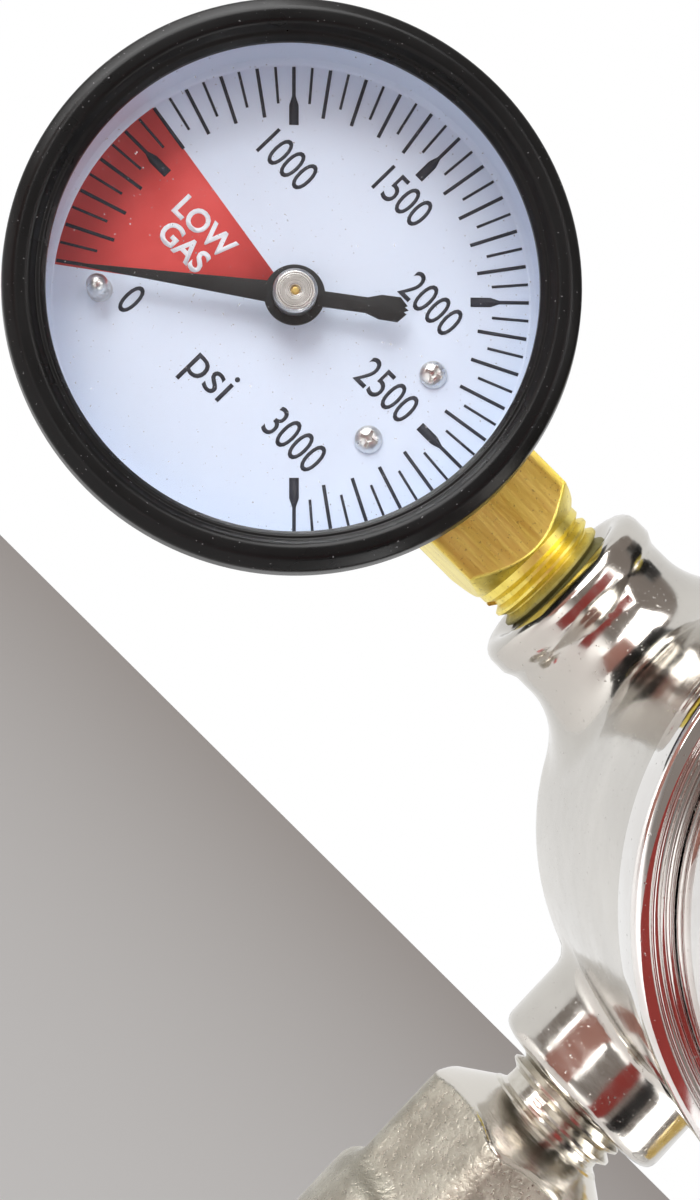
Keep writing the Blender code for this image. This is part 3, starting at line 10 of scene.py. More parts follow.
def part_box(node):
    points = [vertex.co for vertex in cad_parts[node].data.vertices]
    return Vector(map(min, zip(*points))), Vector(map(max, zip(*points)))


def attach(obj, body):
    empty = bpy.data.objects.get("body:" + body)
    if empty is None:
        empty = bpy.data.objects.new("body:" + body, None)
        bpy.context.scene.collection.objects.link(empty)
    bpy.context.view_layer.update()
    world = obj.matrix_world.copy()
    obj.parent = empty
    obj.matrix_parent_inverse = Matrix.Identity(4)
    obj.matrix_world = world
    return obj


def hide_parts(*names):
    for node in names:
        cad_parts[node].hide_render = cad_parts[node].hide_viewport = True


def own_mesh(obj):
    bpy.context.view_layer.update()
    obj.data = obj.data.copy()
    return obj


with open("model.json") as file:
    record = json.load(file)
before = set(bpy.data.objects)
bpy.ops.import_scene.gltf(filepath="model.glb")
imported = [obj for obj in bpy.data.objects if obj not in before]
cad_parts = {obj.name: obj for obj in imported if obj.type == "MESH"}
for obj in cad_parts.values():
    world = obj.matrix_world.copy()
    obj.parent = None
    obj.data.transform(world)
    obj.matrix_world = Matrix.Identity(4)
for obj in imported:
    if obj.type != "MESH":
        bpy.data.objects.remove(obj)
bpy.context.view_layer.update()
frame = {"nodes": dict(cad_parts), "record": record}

mm = 0.001
inletReach = 82.0            # sealing face to the body's axis
gaugeReach = 76.15           # body's axis to a dial's centre
pipePitch = 1.411            # quarter-inch pipe thread
forward, right = (90, 0, 0), (0, 90, 0)   # where a piece's own +Z goes
up, down, lowerRight = (0, 0, 0), (180, 0, 0), (0, 135, 0)
bodyPlace = Matrix.Translation((-inletReach * mm, 0, 0))


# small tools for shapes

def place(at=(0, 0, 0), turn=(0, 0, 0), parent=bodyPlace):
    angles = Euler([math.radians(angle) for angle in turn])
    return parent @ Matrix.Translation(Vector(at) * mm) @ angles.to_matrix().to_4x4()


def softened(outline, ring=False, steps=5):
    # a corner with a third number is rounded by about that much
    points = []
    for i, corner in enumerate(outline):
        here = Vector(corner[:2])
        if len(corner) < 3 or (not ring and i in (0, len(outline) - 1)):
            points.append(here)
            continue
        back = Vector(outline[i - 1][:2]) - here
        ahead = Vector(outline[(i + 1) % len(outline)][:2]) - here
        half = max(back.angle(ahead) / 2, 0.05)
        reach = min(corner[2] / math.tan(half), 0.48 * back.length, 0.48 * ahead.length)
        start, end = here + back.normalized() * reach, here + ahead.normalized() * reach
        for k in range(steps + 1):
            t = k / steps
            points.append(start * (1 - t) ** 2 + here * 2 * t * (1 - t) + end * t * t)
    return points


def lathe(outline, steps=96, ring=False, rows=0):
    # spins (radius, height) round Z; rows is the longest step along the outline
    points = softened(outline, ring)
    if rows:
        fine = []
        for a, b in zip(points, points[1:]):
            parts = max(1, math.ceil((b - a).length / rows))
            fine += [a.lerp(b, k / parts) for k in range(parts)]
        points = fine + [points[-1]]
    part = bmesh.new()
    verts = [part.verts.new((p.x * mm, 0, p.y * mm)) for p in points]
    edges = [part.edges.new(pair) for pair in zip(verts, verts[1:])]
    if ring:
        edges.append(part.edges.new((verts[-1], verts[0])))
    bmesh.ops.spin(part, geom=verts + edges, cent=(0, 0, 0), axis=(0, 0, 1), dvec=(0, 0, 0),
                   angle=math.tau, steps=steps, use_merge=True, use_duplicate=False)
    bmesh.ops.remove_doubles(part, verts=part.verts, dist=1e-7)
    bmesh.ops.recalc_face_normals(part, faces=part.faces)
    return part


def squareOff(part, sides, flats, soft=0.3, spin=0.0, low=-999.0, high=999.0):
    # pushes a turned part in to a square or hexagonal bar, with a corner towards +X
    step = math.tau / sides
    for vert in part.verts:
        radius = math.hypot(vert.co.x, vert.co.y) / mm
        if radius < 0.01 or not low <= vert.co.z / mm <= high:
            continue
        angle = (math.atan2(vert.co.y, vert.co.x) - math.radians(spin)) % step - step / 2
        flat = flats / 2 / math.cos(angle)
        blend = max(soft - abs(radius - flat), 0) / soft
        wanted = min(radius, flat) - blend * blend * soft / 4
        vert.co.x *= wanted / radius
        vert.co.y *= wanted / radius
    return part


def wound(section, rise, angle, steps, start=0.0):
    # (radius, height) corners wound round the Z axis, each step higher by rise
    part = bmesh.new()
    turnBack = Matrix.Rotation(math.radians(start), 3, "Z")
    verts = [part.verts.new(turnBack @ Vector((r * mm, 0, h * mm))) for r, h in section]
    face = part.faces.new(verts)
    bmesh.ops.spin(part, geom=verts + list(face.edges) + [face], cent=(0, 0, 0),
                   axis=(0, 0, 1), dvec=(0, 0, rise * mm), angle=angle, steps=steps,
                   use_merge=False, use_duplicate=False)
    rims = [edge for edge in part.edges if edge.is_boundary]
    if rims:
        bmesh.ops.holes_fill(part, edges=rims, sides=0)
    bmesh.ops.recalc_face_normals(part, faces=part.faces)
    return part


def thread(crest, depth, pitch, low, high, steps=40, start=0.0):
    # one closed right-handed ridge; a negative depth makes a tapped thread
    half, root, lip = 0.49 * pitch, crest - depth, pitch / 10
    sunk = root - math.copysign(0.3, depth)
    section = [(sunk, low - half), (root, low - half), (crest, low - lip), (crest, low + lip),
               (root, low + half), (sunk, low + half)]
    total = max(1, round((high - low) / pitch * steps))
    return wound(section, pitch / steps, math.tau * total / steps, total, start)


def addSheet(part, outline, low, thick):
    # a flat closed sheet from an outline in the XY plane
    face = part.faces.new([part.verts.new((x * mm, y * mm, low * mm)) for x, y in outline])
    made = bmesh.ops.extrude_face_region(part, geom=[face])
    raised = [item for item in made["geom"] if isinstance(item, bmesh.types.BMVert)]
    bmesh.ops.translate(part, verts=raised, vec=(0, 0, thick * mm))


def plateShape(outline, low, high, bevel=0.0, holes=(), segments=3):
    part = bmesh.new()
    addSheet(part, outline, low, high - low)
    bmesh.ops.recalc_face_normals(part, faces=part.faces)
    if bevel:
        rims = [edge for edge in part.edges if abs(edge.verts[0].co.z - edge.verts[1].co.z) < 1e-7]
        bmesh.ops.bevel(part, geom=rims, offset=bevel * mm, offset_type="OFFSET", affect="EDGES",
                        segments=segments, profile=0.5, material=-1, clamp_overlap=True)
    for x, y, radius in holes:
        hole = lathe([(0, high + 1), (radius, high + 1), (radius, low - 1), (0, low - 1)], 40)
        hole.transform(Matrix.Translation((x * mm, y * mm, 0)))
        part = carved(part, hole)
    return part


def block(low, high, bevel=0.0):
    part = bmesh.new()
    bmesh.ops.create_cube(part, size=1.0)
    low, high = Vector(low) * mm, Vector(high) * mm
    bmesh.ops.scale(part, vec=high - low, verts=part.verts)
    bmesh.ops.translate(part, vec=(low + high) / 2, verts=part.verts)
    if bevel:
        bmesh.ops.bevel(part, geom=part.edges[:], offset=bevel * mm, offset_type="OFFSET",
                        affect="EDGES", segments=3, profile=0.5, material=-1)
    return part


def asMesh(part, name="working"):
    mesh = bpy.data.meshes.new(name)
    part.to_mesh(mesh)
    part.free()
    return mesh


def linked(name, data):
    thing = bpy.data.objects.new(name, data)
    bpy.context.scene.collection.objects.link(thing)
    return thing


def asObject(part):
    return linked("working", asMesh(part))


def worked(thing):
    # the object's mesh with its modifiers applied; the object goes
    bpy.context.view_layer.update()
    mesh = bpy.data.meshes.new_from_object(
        thing.evaluated_get(bpy.context.evaluated_depsgraph_get()))
    part = bmesh.new()
    part.from_mesh(mesh)
    bpy.data.meshes.remove(mesh)
    bpy.data.objects.remove(thing, do_unlink=True)
    return part


def carved(part, *tools):
    thing = asObject(part)
    others = [asObject(tool) for tool in tools]
    for other in others:
        step = thing.modifiers.new("carve", "BOOLEAN")
        step.operation, step.solver, step.object = "DIFFERENCE", "EXACT", other
    part = worked(thing)
    for other in others:
        bpy.data.objects.remove(other, do_unlink=True)
    return part


def joined(parts):
    # (part, where) pairs as one shape
    shape = bmesh.new()
    for part, where in parts:
        part.transform(where)
        mesh = asMesh(part)
        shape.from_mesh(mesh)
        bpy.data.meshes.remove(mesh)
    return shape


def arcPoints(radius, start, end, steps, centre=(0, 0)):
    angles = [math.radians(start + (end - start) * i / steps) for i in range(steps + 1)]
    return [(centre[0] + radius * math.cos(a), centre[1] + radius * math.sin(a)) for a in angles]


def addPiece(name, shape, look, body, nodes, sharp=32):
    mesh = asMesh(shape, name)
    mesh.shade_smooth()
    if sharp:
        mesh.set_sharp_from_angle(angle=math.radians(sharp))
    mesh.materials.append(look)
    piece = linked(name, mesh)
    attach(piece, body)
    if nodes:
        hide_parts(*nodes)
    return piece


# cast shapes: a remeshed blank pulled on to a smooth surface

def roundMax(a, b, radius):
    u, v = np.maximum(a + radius, 0), np.maximum(b + radius, 0)
    return np.minimum(np.maximum(a, b), -radius) + np.hypot(u, v)


def roundMin(a, b, radius):
    return -roundMax(-a, -b, radius)


def castShape(blank, distance, voxel, rounds=9):
    thing = asObject(blank)
    step = thing.modifiers.new("remesh", "REMESH")
    step.mode, step.voxel_size = "VOXEL", voxel * mm
    part = worked(thing)
    mesh = asMesh(part)
    count = len(mesh.vertices)
    flat = np.empty(count * 3)
    mesh.vertices.foreach_get("co", flat)
    spots = flat.reshape(-1, 3) / mm + (inletReach, 0, 0)
    ends = np.empty(len(mesh.edges) * 2, dtype=np.int64)
    mesh.edges.foreach_get("vertices", ends)
    ends = ends.reshape(-1, 2)
    both = np.concatenate([ends, ends[:, ::-1]])
    weight = np.bincount(both[:, 0], minlength=count)[:, None]
    tiny = 0.02
    for turnNumber in range(rounds):
        if turnNumber < rounds - 2:
            mean = np.stack([np.bincount(both[:, 0], spots[both[:, 1], k], count)
                             for k in range(3)], axis=1) / weight
            spots = spots * 0.4 + mean * 0.6
        for pull in range(2):
            here = distance(spots)
            slope = np.stack([
                (distance(spots + np.eye(3)[k] * tiny) - distance(spots - np.eye(3)[k] * tiny))
                / (2 * tiny) for k in range(3)], axis=1)
            size = np.maximum((slope ** 2).sum(axis=1), 0.2)[:, None]
            spots = spots - slope * np.clip(here, -1.0, 1.0)[:, None] / size
    spots = (spots - (inletReach, 0, 0)) * mm
    mesh.vertices.foreach_set("co", spots.reshape(-1))
    part = bmesh.new()
    part.from_mesh(mesh)
    bpy.data.meshes.remove(mesh)
    return part


# finishes

class Wire:
    # a socket that does sums
    def __init__(self, finish, socket):
        self.finish, self.socket = finish, socket

    def maths(self, operation, *others, clamp=False):
        sockets = dict(enumerate((self, *others)))
        return self.finish.node("Math", {"operation": operation, "use_clamp": clamp}, sockets)

    def __add__(self, other):
        return self.maths("ADD", other)

    def __mul__(self, other):
        return self.maths("MULTIPLY", other)

    __radd__, __rmul__ = __add__, __mul__

    def __sub__(self, other):
        return self.maths("SUBTRACT", other)

    def __rsub__(self, other):
        return self * -1 + other


class Finish:
    def __init__(self, name, **fixed):
        self.material = bpy.data.materials.new(name)
        self.material.use_nodes = True
        self.tree = self.material.node_tree
        self.shader = self.tree.nodes["Principled BSDF"]
        self.spot = self.node("TexCoord", output="Object")
        for socket, value in fixed.items():
            self.shader.inputs[socket.replace("_", " ")].default_value = value

    def node(self, kind, settings=None, sockets=None, output=0):
        made = self.tree.nodes.new("ShaderNode" + kind)
        settings = dict(settings or {})
        stops = settings.pop("stops", None)
        for key, value in settings.items():
            setattr(made, key, value)
        if stops:
            ramp = made.color_ramp
            while len(ramp.elements) < len(stops):
                ramp.elements.new(0.5)
            for element, (position, colour) in zip(ramp.elements, stops):
                element.position, element.color = position, colour
        for key, value in (sockets or {}).items():
            self.feed(made.inputs[key], value)
        return Wire(self, made.outputs[output])

    def feed(self, socket, value):
        if isinstance(value, Wire):
            self.tree.links.new(value.socket, socket)
        elif hasattr(socket.default_value, "__len__") and not hasattr(value, "__len__"):
            socket.default_value = [value] * len(socket.default_value)
        elif socket.type == "RGBA" and len(value) == 3:
            socket.default_value = (*value, 1)
        else:
            socket.default_value = value

    def grain(self, scale, detail=3.0, roughness=0.55, stretch=(1, 1, 1), shift=(0, 0, 0)):
        # noise from 0 to 1; scale is features in a metre
        spot = self.node("Mapping", {"vector_type": "POINT"},
                         {0: self.spot, 1: Vector(shift), 3: Vector(stretch)})
        return self.node("TexNoise", {"noise_dimensions": "3D"},
                         {"Vector": spot, "Scale": scale, "Detail": detail,
                          "Roughness": roughness})

    def between(self, value, low, high, first=0.0, last=1.0):
        return self.node("MapRange", {"interpolation_type": "SMOOTHSTEP"},
                         {0: value, 1: low, 2: high, 3: first, 4: last})

    def mix(self, share, first, last):
        return self.node("Mix", {"data_type": "RGBA"}, {0: share, 6: first, 7: last}, output=2)

    def part(self, axis):
        # the X, Y or Z of the place being shaded
        return self.node("SeparateXYZ", None, {0: self.spot}, output=axis)

    def paint(self, colour=None, roughness=None, bump=None, depth=0.00005, strength=1.0,
              metallic=None, coat=None):
        wanted = {"Base Color": colour, "Roughness": roughness, "Metallic": metallic,
                  "Coat Weight": coat}
        for socket, value in wanted.items():
            if value is not None:
                self.feed(self.shader.inputs[socket], value)
        if bump is not None:
            normal = self.node("Bump", None, {"Height": bump, "Distance": depth,
                                              "Strength": strength})
            self.feed(self.shader.inputs["Normal"], normal)
        return self.material


def polishedNickel(name="polishedNickel", tone=(0.585, 0.56, 0.52), gloss=0.11):
    f = Finish(name, Metallic=1.0)
    cloud = f.grain(60, 4)
    smear = f.grain(260, 5, 0.6, (1, 1, 2.5))
    pits = f.between(f.grain(2600, 2), 0.66, 0.74)
    wave = f.grain(110, 2)
    hair = f.grain(1500, 3, 0.6, (0.12, 1, 0.5))
    darker = tuple(c * 0.88 for c in tone)
    colour = f.mix(f.between(cloud, 0.35, 0.65), darker, tone)
    colour = f.mix(pits * 0.35, colour, (0.30, 0.28, 0.25))
    rough = f.between(smear, 0.35, 0.75, gloss, gloss + 0.10) + pits * 0.15
    height = wave * 1.0 + hair * 0.03 - pits * 0.06 + smear * 0.06
    return f.paint(colour, rough, height, depth=0.00012)


def brightChrome():
    f = Finish("brightChrome", Metallic=1.0)
    smear = f.grain(180, 5, 0.6)
    wave = f.grain(70, 2)
    pits = f.between(f.grain(2200, 2), 0.68, 0.76)
    hair = f.grain(900, 3, 0.6, (1, 6, 1))
    colour = f.mix(f.between(smear, 0.3, 0.7), (0.70, 0.68, 0.66), (0.76, 0.75, 0.735))
    colour = f.mix(pits * 0.4, colour, (0.25, 0.23, 0.2))
    rough = f.between(smear, 0.4, 0.8, 0.035, 0.11) + pits * 0.2
    return f.paint(colour, rough, wave * 0.5 + hair * 0.006 - pits * 0.05, depth=0.00010)


def castNickel(name="castNickel", cone=None):
    # cone is the (radius, reach, slope) of a turned cone, which stays smooth
    f = Finish(name, Metallic=1.0)
    grit = f.grain(1900, 4, 0.66)
    lumps = f.grain(420, 3, 0.5)
    pits = f.between(f.grain(2400, 2, 0.5), 0.60, 0.72)
    colour = f.mix(f.between(lumps, 0.35, 0.65), (0.31, 0.287, 0.238), (0.41, 0.385, 0.325))
    colour = f.mix(pits * 0.15, colour, (0.27, 0.25, 0.22))
    rough = f.between(grit, 0.3, 0.7, 0.24, 0.42)
    height = grit * 1.1 + lumps * 0.7 - pits * 0.15
    if cone:
        radius, reach, slope = cone
        flat = f.node("CombineXYZ", None, {0: f.part(0), 1: f.part(1)})
        away = f.node("VectorMath", {"operation": "DISTANCE"},
                      {0: flat, 1: Vector((-inletReach * mm, 0, 0))}, output="Value")
        inside = f.part(2) * -1 - away * slope + (radius * slope - reach) * mm
        smooth = f.between(inside, 0.0001, 0.0004, 1.0, 0.0)
        rings = f.grain(5200, 3, 0.6, (0.05, 0.05, 1))
        rough = f.mix(smooth, rough, 0.13)
        height = height * (1 - smooth) + rings * smooth * 0.12
        colour = f.mix(smooth, colour, (0.66, 0.63, 0.58))
    return f.paint(colour, rough, height, depth=0.00016)


def turnedMetal(name, axis, tone, dark, gloss=0.14):
    # fine tool rings round the axis
    f = Finish(name, Metallic=1.0)
    along = [0.05, 0.05, 0.05]
    along[axis] = 1.0
    rings = f.grain(5200, 3, 0.6, along)
    cloud = f.grain(300, 3)
    colour = f.mix(f.between(cloud, 0.3, 0.7), dark, tone)
    rough = f.between(rings, 0.3, 0.7, gloss, gloss + 0.12)
    return f.paint(colour, rough, rings + cloud * 0.4, depth=0.00002)


def stemBrass(name, axis, mouth):
    # drawn square bar: streaks along the stem, and old sealant on the last threads
    f = Finish(name, Metallic=1.0)
    thin, wide = [9.0] * 3, [3.0] * 3
    thin[axis], wide[axis] = 0.25, 0.5
    streaks = f.grain(420, 4, 0.65, thin)
    bands = f.grain(190, 3, 0.55, wide)
    blotch = f.grain(330, 4, 0.6)
    specks = f.between(f.grain(3000, 2), 0.62, 0.72)
    side = 1 if mouth[1] > 0 else -1
    depth = (f.part(axis) - mouth[0] * mm) * side      # distance past the boss's mouth
    worn = f.between(depth + (blotch - 0.5) * 0.0012, -0.0016, 0.0002)
    tone = f.mix(f.between(bands, 0.3, 0.7), (0.74, 0.60, 0.12), (0.90, 0.77, 0.21))
    tone = f.mix(f.between(streaks, 0.6, 0.85) * 0.3, tone, (0.55, 0.43, 0.09))
    tone = f.mix(f.between(blotch, 0.62, 0.8) * 0.55, tone, (0.36, 0.26, 0.08))
    tone = f.mix(specks * 0.5, tone, (0.20, 0.14, 0.05))
    tone = f.mix(worn * 0.85, tone, (0.05, 0.055, 0.03))
    rough = f.between(streaks, 0.3, 0.7, 0.30, 0.42) + worn * 0.25
    height = streaks * 1.0 + bands * 0.5 + worn * blotch * 3.0
    return f.paint(tone, rough, height, depth=0.000014, metallic=1.0 - worn * 0.7)


def blackEnamel(name="blackEnamel", tone=0.006, rough=0.26):
    f = Finish(name, Specular_IOR_Level=0.18)
    peel = f.grain(700, 2)
    haze = f.grain(120, 4)
    dust = f.between(f.grain(3800, 1), 0.74, 0.78)
    colour = f.mix(haze, (tone,) * 3, (tone * 1.5, tone * 1.5, tone * 1.6))
    colour = f.mix(dust * 0.5, colour, (0.25, 0.25, 0.26))
    roughness = f.between(haze, 0.3, 0.7, rough, rough + 0.08) + dust * 0.3
    return f.paint(colour, roughness, peel, depth=0.00001)


def dialWhite(name, centre):
    f = Finish(name, Specular_IOR_Level=0.4)
    cloud = f.grain(45, 3)
    fibre = f.grain(3500, 2)
    specks = f.between(f.grain(2100, 1), 0.77, 0.79)
    away = f.node("VectorMath", {"operation": "DISTANCE"},
                  {0: f.spot, 1: Vector(centre)}, output="Value")
    # painted shade: the dial's colour is darkened towards its rim, under the bezel, by the mask
    # below
    edge = f.between(away, 0.019, 0.0245)
    colour = f.mix(cloud, (0.70, 0.79, 0.925), (0.76, 0.84, 0.95))
    colour = f.mix(edge * 0.30, colour, (0.52, 0.58, 0.74))
    colour = f.mix(specks * 0.6, colour, (0.22, 0.24, 0.28))
    return f.paint(colour, f.between(cloud, 0.3, 0.7, 0.38, 0.5), fibre, depth=0.000004)


def ink(name, tone, rough=0.45):
    f = Finish(name, Specular_IOR_Level=0.25)
    cloud = f.grain(160, 3)
    edge = f.grain(2800, 2)
    lighter = tuple(min(1.0, c * 1.12 + 0.012) for c in tone)
    colour = f.mix(f.between(cloud, 0.3, 0.7), tone, lighter)
    colour = f.mix(f.between(edge, 0.62, 0.8) * 0.2, colour, lighter)
    return f.paint(colour, f.between(edge, 0.3, 0.7, rough, rough + 0.1), edge, depth=0.000004)


def clearLens():
    f = Finish("clearLens", Transmission_Weight=0.0, IOR=1.49, Specular_IOR_Level=0.5)
    haze = f.grain(90, 4)
    dust = f.between(f.grain(3200, 1), 0.755, 0.775)
    f.paint((0.93, 0.95, 0.97), f.between(haze, 0.3, 0.7, 0.02, 0.05),
            f.grain(25, 2), depth=0.00002)
    clear = f.node("BsdfTransparent", None, {"Color": (0.985, 0.99, 0.995)})
    shine = f.node("BsdfGlossy", None, {"Color": (1, 1, 1), "Roughness": 0.02})
    fresnel = f.node("Fresnel", None, {"IOR": 1.45})
    both = f.node("MixShader", None, {0: fresnel * 0.55, 1: clear, 2: shine})
    output = f.tree.nodes["Material Output"]
    dusty = f.node("MixShader", None, {0: dust * 0.35 + haze * 0.004, 1: both,
                                       2: Wire(f, f.shader.outputs[0])})
    f.tree.links.new(dusty.socket, output.inputs["Surface"])
    return f.material


def platedSteel(name="platedSteel", tone=(0.60, 0.60, 0.60), gloss=0.22):
    f = Finish(name, Metallic=1.0)
    cloud = f.grain(220, 4)
    brush = f.grain(2400, 3, 0.6, (1, 1, 0.2))
    darker = tuple(c * 0.75 for c in tone)
    colour = f.mix(f.between(cloud, 0.3, 0.7), darker, tone)
    rough = f.between(brush, 0.3, 0.7, gloss, gloss + 0.14)
    return f.paint(colour, rough, brush + cloud, depth=0.00002)


def softPlastic(name, tone, rough, texture=1200, depth=0.00003, coat=0.0):
    f = Finish(name, Coat_Weight=coat)
    cloud = f.grain(130, 4)
    skin = f.grain(texture, 3)
    scuff = f.between(f.grain(700, 4, 0.7, (1, 1, 0.3)), 0.66, 0.8)
    lighter = tuple(min(1.0, c * 1.2 + 0.01) for c in tone)
    colour = f.mix(f.between(cloud, 0.3, 0.7), tone, lighter)
    colour = f.mix(scuff * 0.25, colour, tuple(min(1.0, c * 1.6 + 0.03) for c in tone))
    return f.paint(colour, f.between(skin, 0.3, 0.7, rough, rough + 0.12) + scuff * 0.1,
                   skin, depth=depth)


print("finishes")
looks = {
    "nickel": polishedNickel(),
    "cast_nickel": castNickel(),
    "chrome": brightChrome(),
    "brass": turnedMetal("plainBrass", 1, (0.86, 0.66, 0.24), (0.66, 0.48, 0.15), 0.2),
    "steel": platedSteel(),
    "spring_steel": platedSteel("springSteel", (0.42, 0.42, 0.44), 0.26),
    "black_paint": blackEnamel(),
    "dial_white": dialWhite("spareDial", (0, 0, 0)),
    "lens": clearLens(),
    "rubber": softPlastic("blackRubber", (0.018, 0.018, 0.018), 0.6),
    "nylon": softPlastic("naturalNylon", (0.78, 0.76, 0.68), 0.42),
    "red_vinyl": softPlastic("redVinyl", (0.50, 0.022, 0.020), 0.34, 500, 0.00004, 0.2),
}
slotOf = {item["node"]: item["material_slot"] for item in frame["record"]["subparts"]}
for nodeName, node in frame["nodes"].items():
    node.data.materials.clear()
    node.data.materials.append(looks[slotOf[nodeName]])


# regulator body: a cast and polished drum with five bosses

bodySizes = {
    "radius": 27.8, "front": -31.0, "back": 13.0, "backRounding": 8.0,
    "recess": (24.3, -25.0), "chamber": (19.0, -18.5), "seatBore": (6.3, -8.0),
    "highBore": (4.8, 6.0), "sink": 1.1,
    # direction, radius, reach, bead radius, lip rounding, root fillet, port radius
    "bosses": [
        ((-1, 0, 0), 9.8, 38.0, 10.4, 1.5, 5.0, 6.95),
        ((0, 0, 1), 9.8, 38.0, 10.4, 1.5, 5.0, 6.95),
        ((1, 0, 0), 10.6, 38.0, 10.6, 1.2, 4.0, 6.95),
        ((0, 0, -1), 9.9, 35.7, 9.9, 1.3, 1.6, 6.95),
        ((math.sqrt(0.5), 0, -math.sqrt(0.5)), 7.6, 34.0, 7.6, 1.0, 1.6, 5.15),
    ],
}


def smoothStep(value, low, high):
    t = np.clip((value - low) / (high - low), 0, 1)
    return t * t * (3 - 2 * t)


def bodyDistance(spots):
    size = bodySizes
    out = np.hypot(spots[:, 0], spots[:, 2])
    y = spots[:, 1]
    solid = roundMax(out - size["radius"], y - size["back"], size["backRounding"])
    solid = roundMax(solid, size["front"] - y, 0.4)
    holes = np.full(len(spots), 1e3)
    for way, radius, reach, bead, lip, fillet, port in size["bosses"]:
        along = spots @ np.array(way)
        away = np.linalg.norm(spots - along[:, None] * np.array(way), axis=1)
        swell = radius + (bead - radius) * smoothStep(along, reach - 4.4, reach - 3.0)
        boss = roundMax(away - swell, along - reach, lip)
        boss = np.maximum(boss, 14.0 - along)
        solid = roundMin(solid, boss, fillet)
        sink = np.maximum(along - (reach - size["sink"]), 0)
        holes = np.minimum(holes, np.maximum(away - port - sink, reach - 9.0 - along))
    for radius, depth in (size["recess"], size["chamber"], size["seatBore"], size["highBore"]):
        holes = np.minimum(holes, np.maximum(out - radius, y - depth))
    return roundMax(solid, -holes, 0.3)


def bodyBlank():
    size = bodySizes
    recess, floor = size["recess"]
    chamber, chamberFloor = size["chamber"]
    bore, boreFloor = size["seatBore"]
    high, highFloor = size["highBore"]
    drum = lathe([(0, -highFloor), (high, -highFloor), (high, -boreFloor), (bore, -boreFloor),
                  (bore, -chamberFloor), (chamber, -chamberFloor), (chamber, -floor),
                  (recess, -floor), (recess, -size["front"]), (size["radius"], -size["front"]),
                  (size["radius"], -size["back"], size["backRounding"]), (0, -size["back"])], 64)
    parts = [(drum, place(turn=forward))]
    for way, radius, reach, bead, lip, fillet, port in size["bosses"]:
        turn = Vector(way).to_track_quat("Z", "Y").to_euler()
        where = place(turn=[math.degrees(angle) for angle in turn])
        boss = lathe([(port, reach - 9.0), (port, reach), (bead, reach), (radius + 1.0, 25.0),
                      (radius + 2.0, 24.0), (radius + 2.0, 22.0), (0, 22.0), (0, reach - 9.0)], 48,
                     ring=True)
        parts.append((boss, where))
    return joined(parts)


print("body")
bodyShape = castShape(bodyBlank(), bodyDistance, 0.62)
addPiece("regulatorBody", bodyShape, looks["nickel"], "housing", ["regulator_body"], 0)


# bonnet, adjusting screw and lock nut

bonnetSizes = {
    "flangeBack": 31.3, "flangeFront": 36.2, "flangeRadius": 28.4, "dome": 25.5, "height": 23.5,
    "topRadius": 12.0, "wall": 2.3, "neck": 9.5, "neckTop": 65.2, "hole": 5.0, "vent": 1.5,
}


def quarterDome(radius, low, top, height, steps=28):
    points = []
    for i in range(steps + 1):
        angle = math.pi / 2 * (1 - i / steps)
        points.append((top + (radius - top) * math.cos(angle), low + height * math.sin(angle)))
    return points


def bonnetShape():
    s = bonnetSizes
    front, back, rim = s["flangeFront"], s["flangeBack"], s["flangeRadius"]
    top = front + s["height"]
    outline = [(s["hole"], s["neckTop"], 0.3), (s["neck"], s["neckTop"], 0.8),
               (s["neck"], top + 0.35, 0.9)]
    outline += quarterDome(s["dome"], front, s["topRadius"], s["height"])[:-1]
    outline += [(s["dome"], front + 0.2, 0.1), (s["dome"] + 0.1, front - 0.75, 0.15),
                (s["dome"] + 0.5, front - 0.75, 0.15), (s["dome"] + 0.75, front - 0.12, 0.15),
                (s["dome"] + 1.15, front - 0.12, 0.15), (s["dome"] + 1.3, front - 0.35, 0.12),
                (s["dome"] + 1.5, front - 0.05, 0.2)]
    outline += [(rim, front - 0.3, 1.1), (rim, back, 0.35), (24.0, back), (24.0, 27.8),
                (19.0, 27.8), (19.0, back)]
    inner = quarterDome(s["dome"] - s["wall"], front, s["topRadius"], s["height"] - s["wall"], 14)
    outline += inner[::-1] + [(s["hole"], top - s["wall"])]
    shell = lathe(outline, 160, ring=True)
    shell.transform(place(turn=forward))
    vent = lathe([(0, rim + 2), (s["vent"], rim + 2), (s["vent"], 0), (0, 0)], 32)
    vent.transform(place((0, -(front + 9.0), 0), down))
    return carved(shell, vent)


def screwShape():
    tip, length, radius = 55.4, 28.0, 4.7
    core = lathe([(0, tip + length), (radius - 0.6, tip + length, 0.3),
                  (radius - 0.6, tip + 3.4), (1.2, tip + 0.3, 0.3), (0, tip)], 64)
    slot = block((-7, -0.8, tip + length - 2.0), (7, 0.8, tip + length + 2))
    core = carved(core, slot)
    ridge = thread(radius, 0.68, 1.25, tip + 3.6, tip + length - 1.0)
    return joined([(core, place(turn=forward)), (ridge, place(turn=forward))])


def nutShape(flats, low, high, bore, steps=144, inside=None):
    corner = flats / 2 / math.cos(math.pi / 6) * 0.985
    edge = flats / 2 - 0.3
    rise = (corner - edge) * 0.55
    outline = [(bore, low, 0.2), (edge, low, 0.2), (corner, low + rise, 0.15),
               (corner, high - rise, 0.15), (edge, high, 0.2), (bore, high, 0.2)]
    if inside:
        outline = outline[1:-1] + inside
    nut = lathe(outline[::-1], steps, ring=True)
    bmesh.ops.subdivide_edges(nut, edges=[e for e in nut.edges if (
        abs(e.verts[0].co.z - e.verts[1].co.z) > 1e-5
        and e.calc_length() < 1.8 * rise * mm and max(
            math.hypot(v.co.x, v.co.y) for v in e.verts) > edge * mm * 0.98)], cuts=7)
    bmesh.ops.remove_doubles(nut, verts=nut.verts, dist=1e-7)
    return squareOff(nut, 6, flats, 0.25)


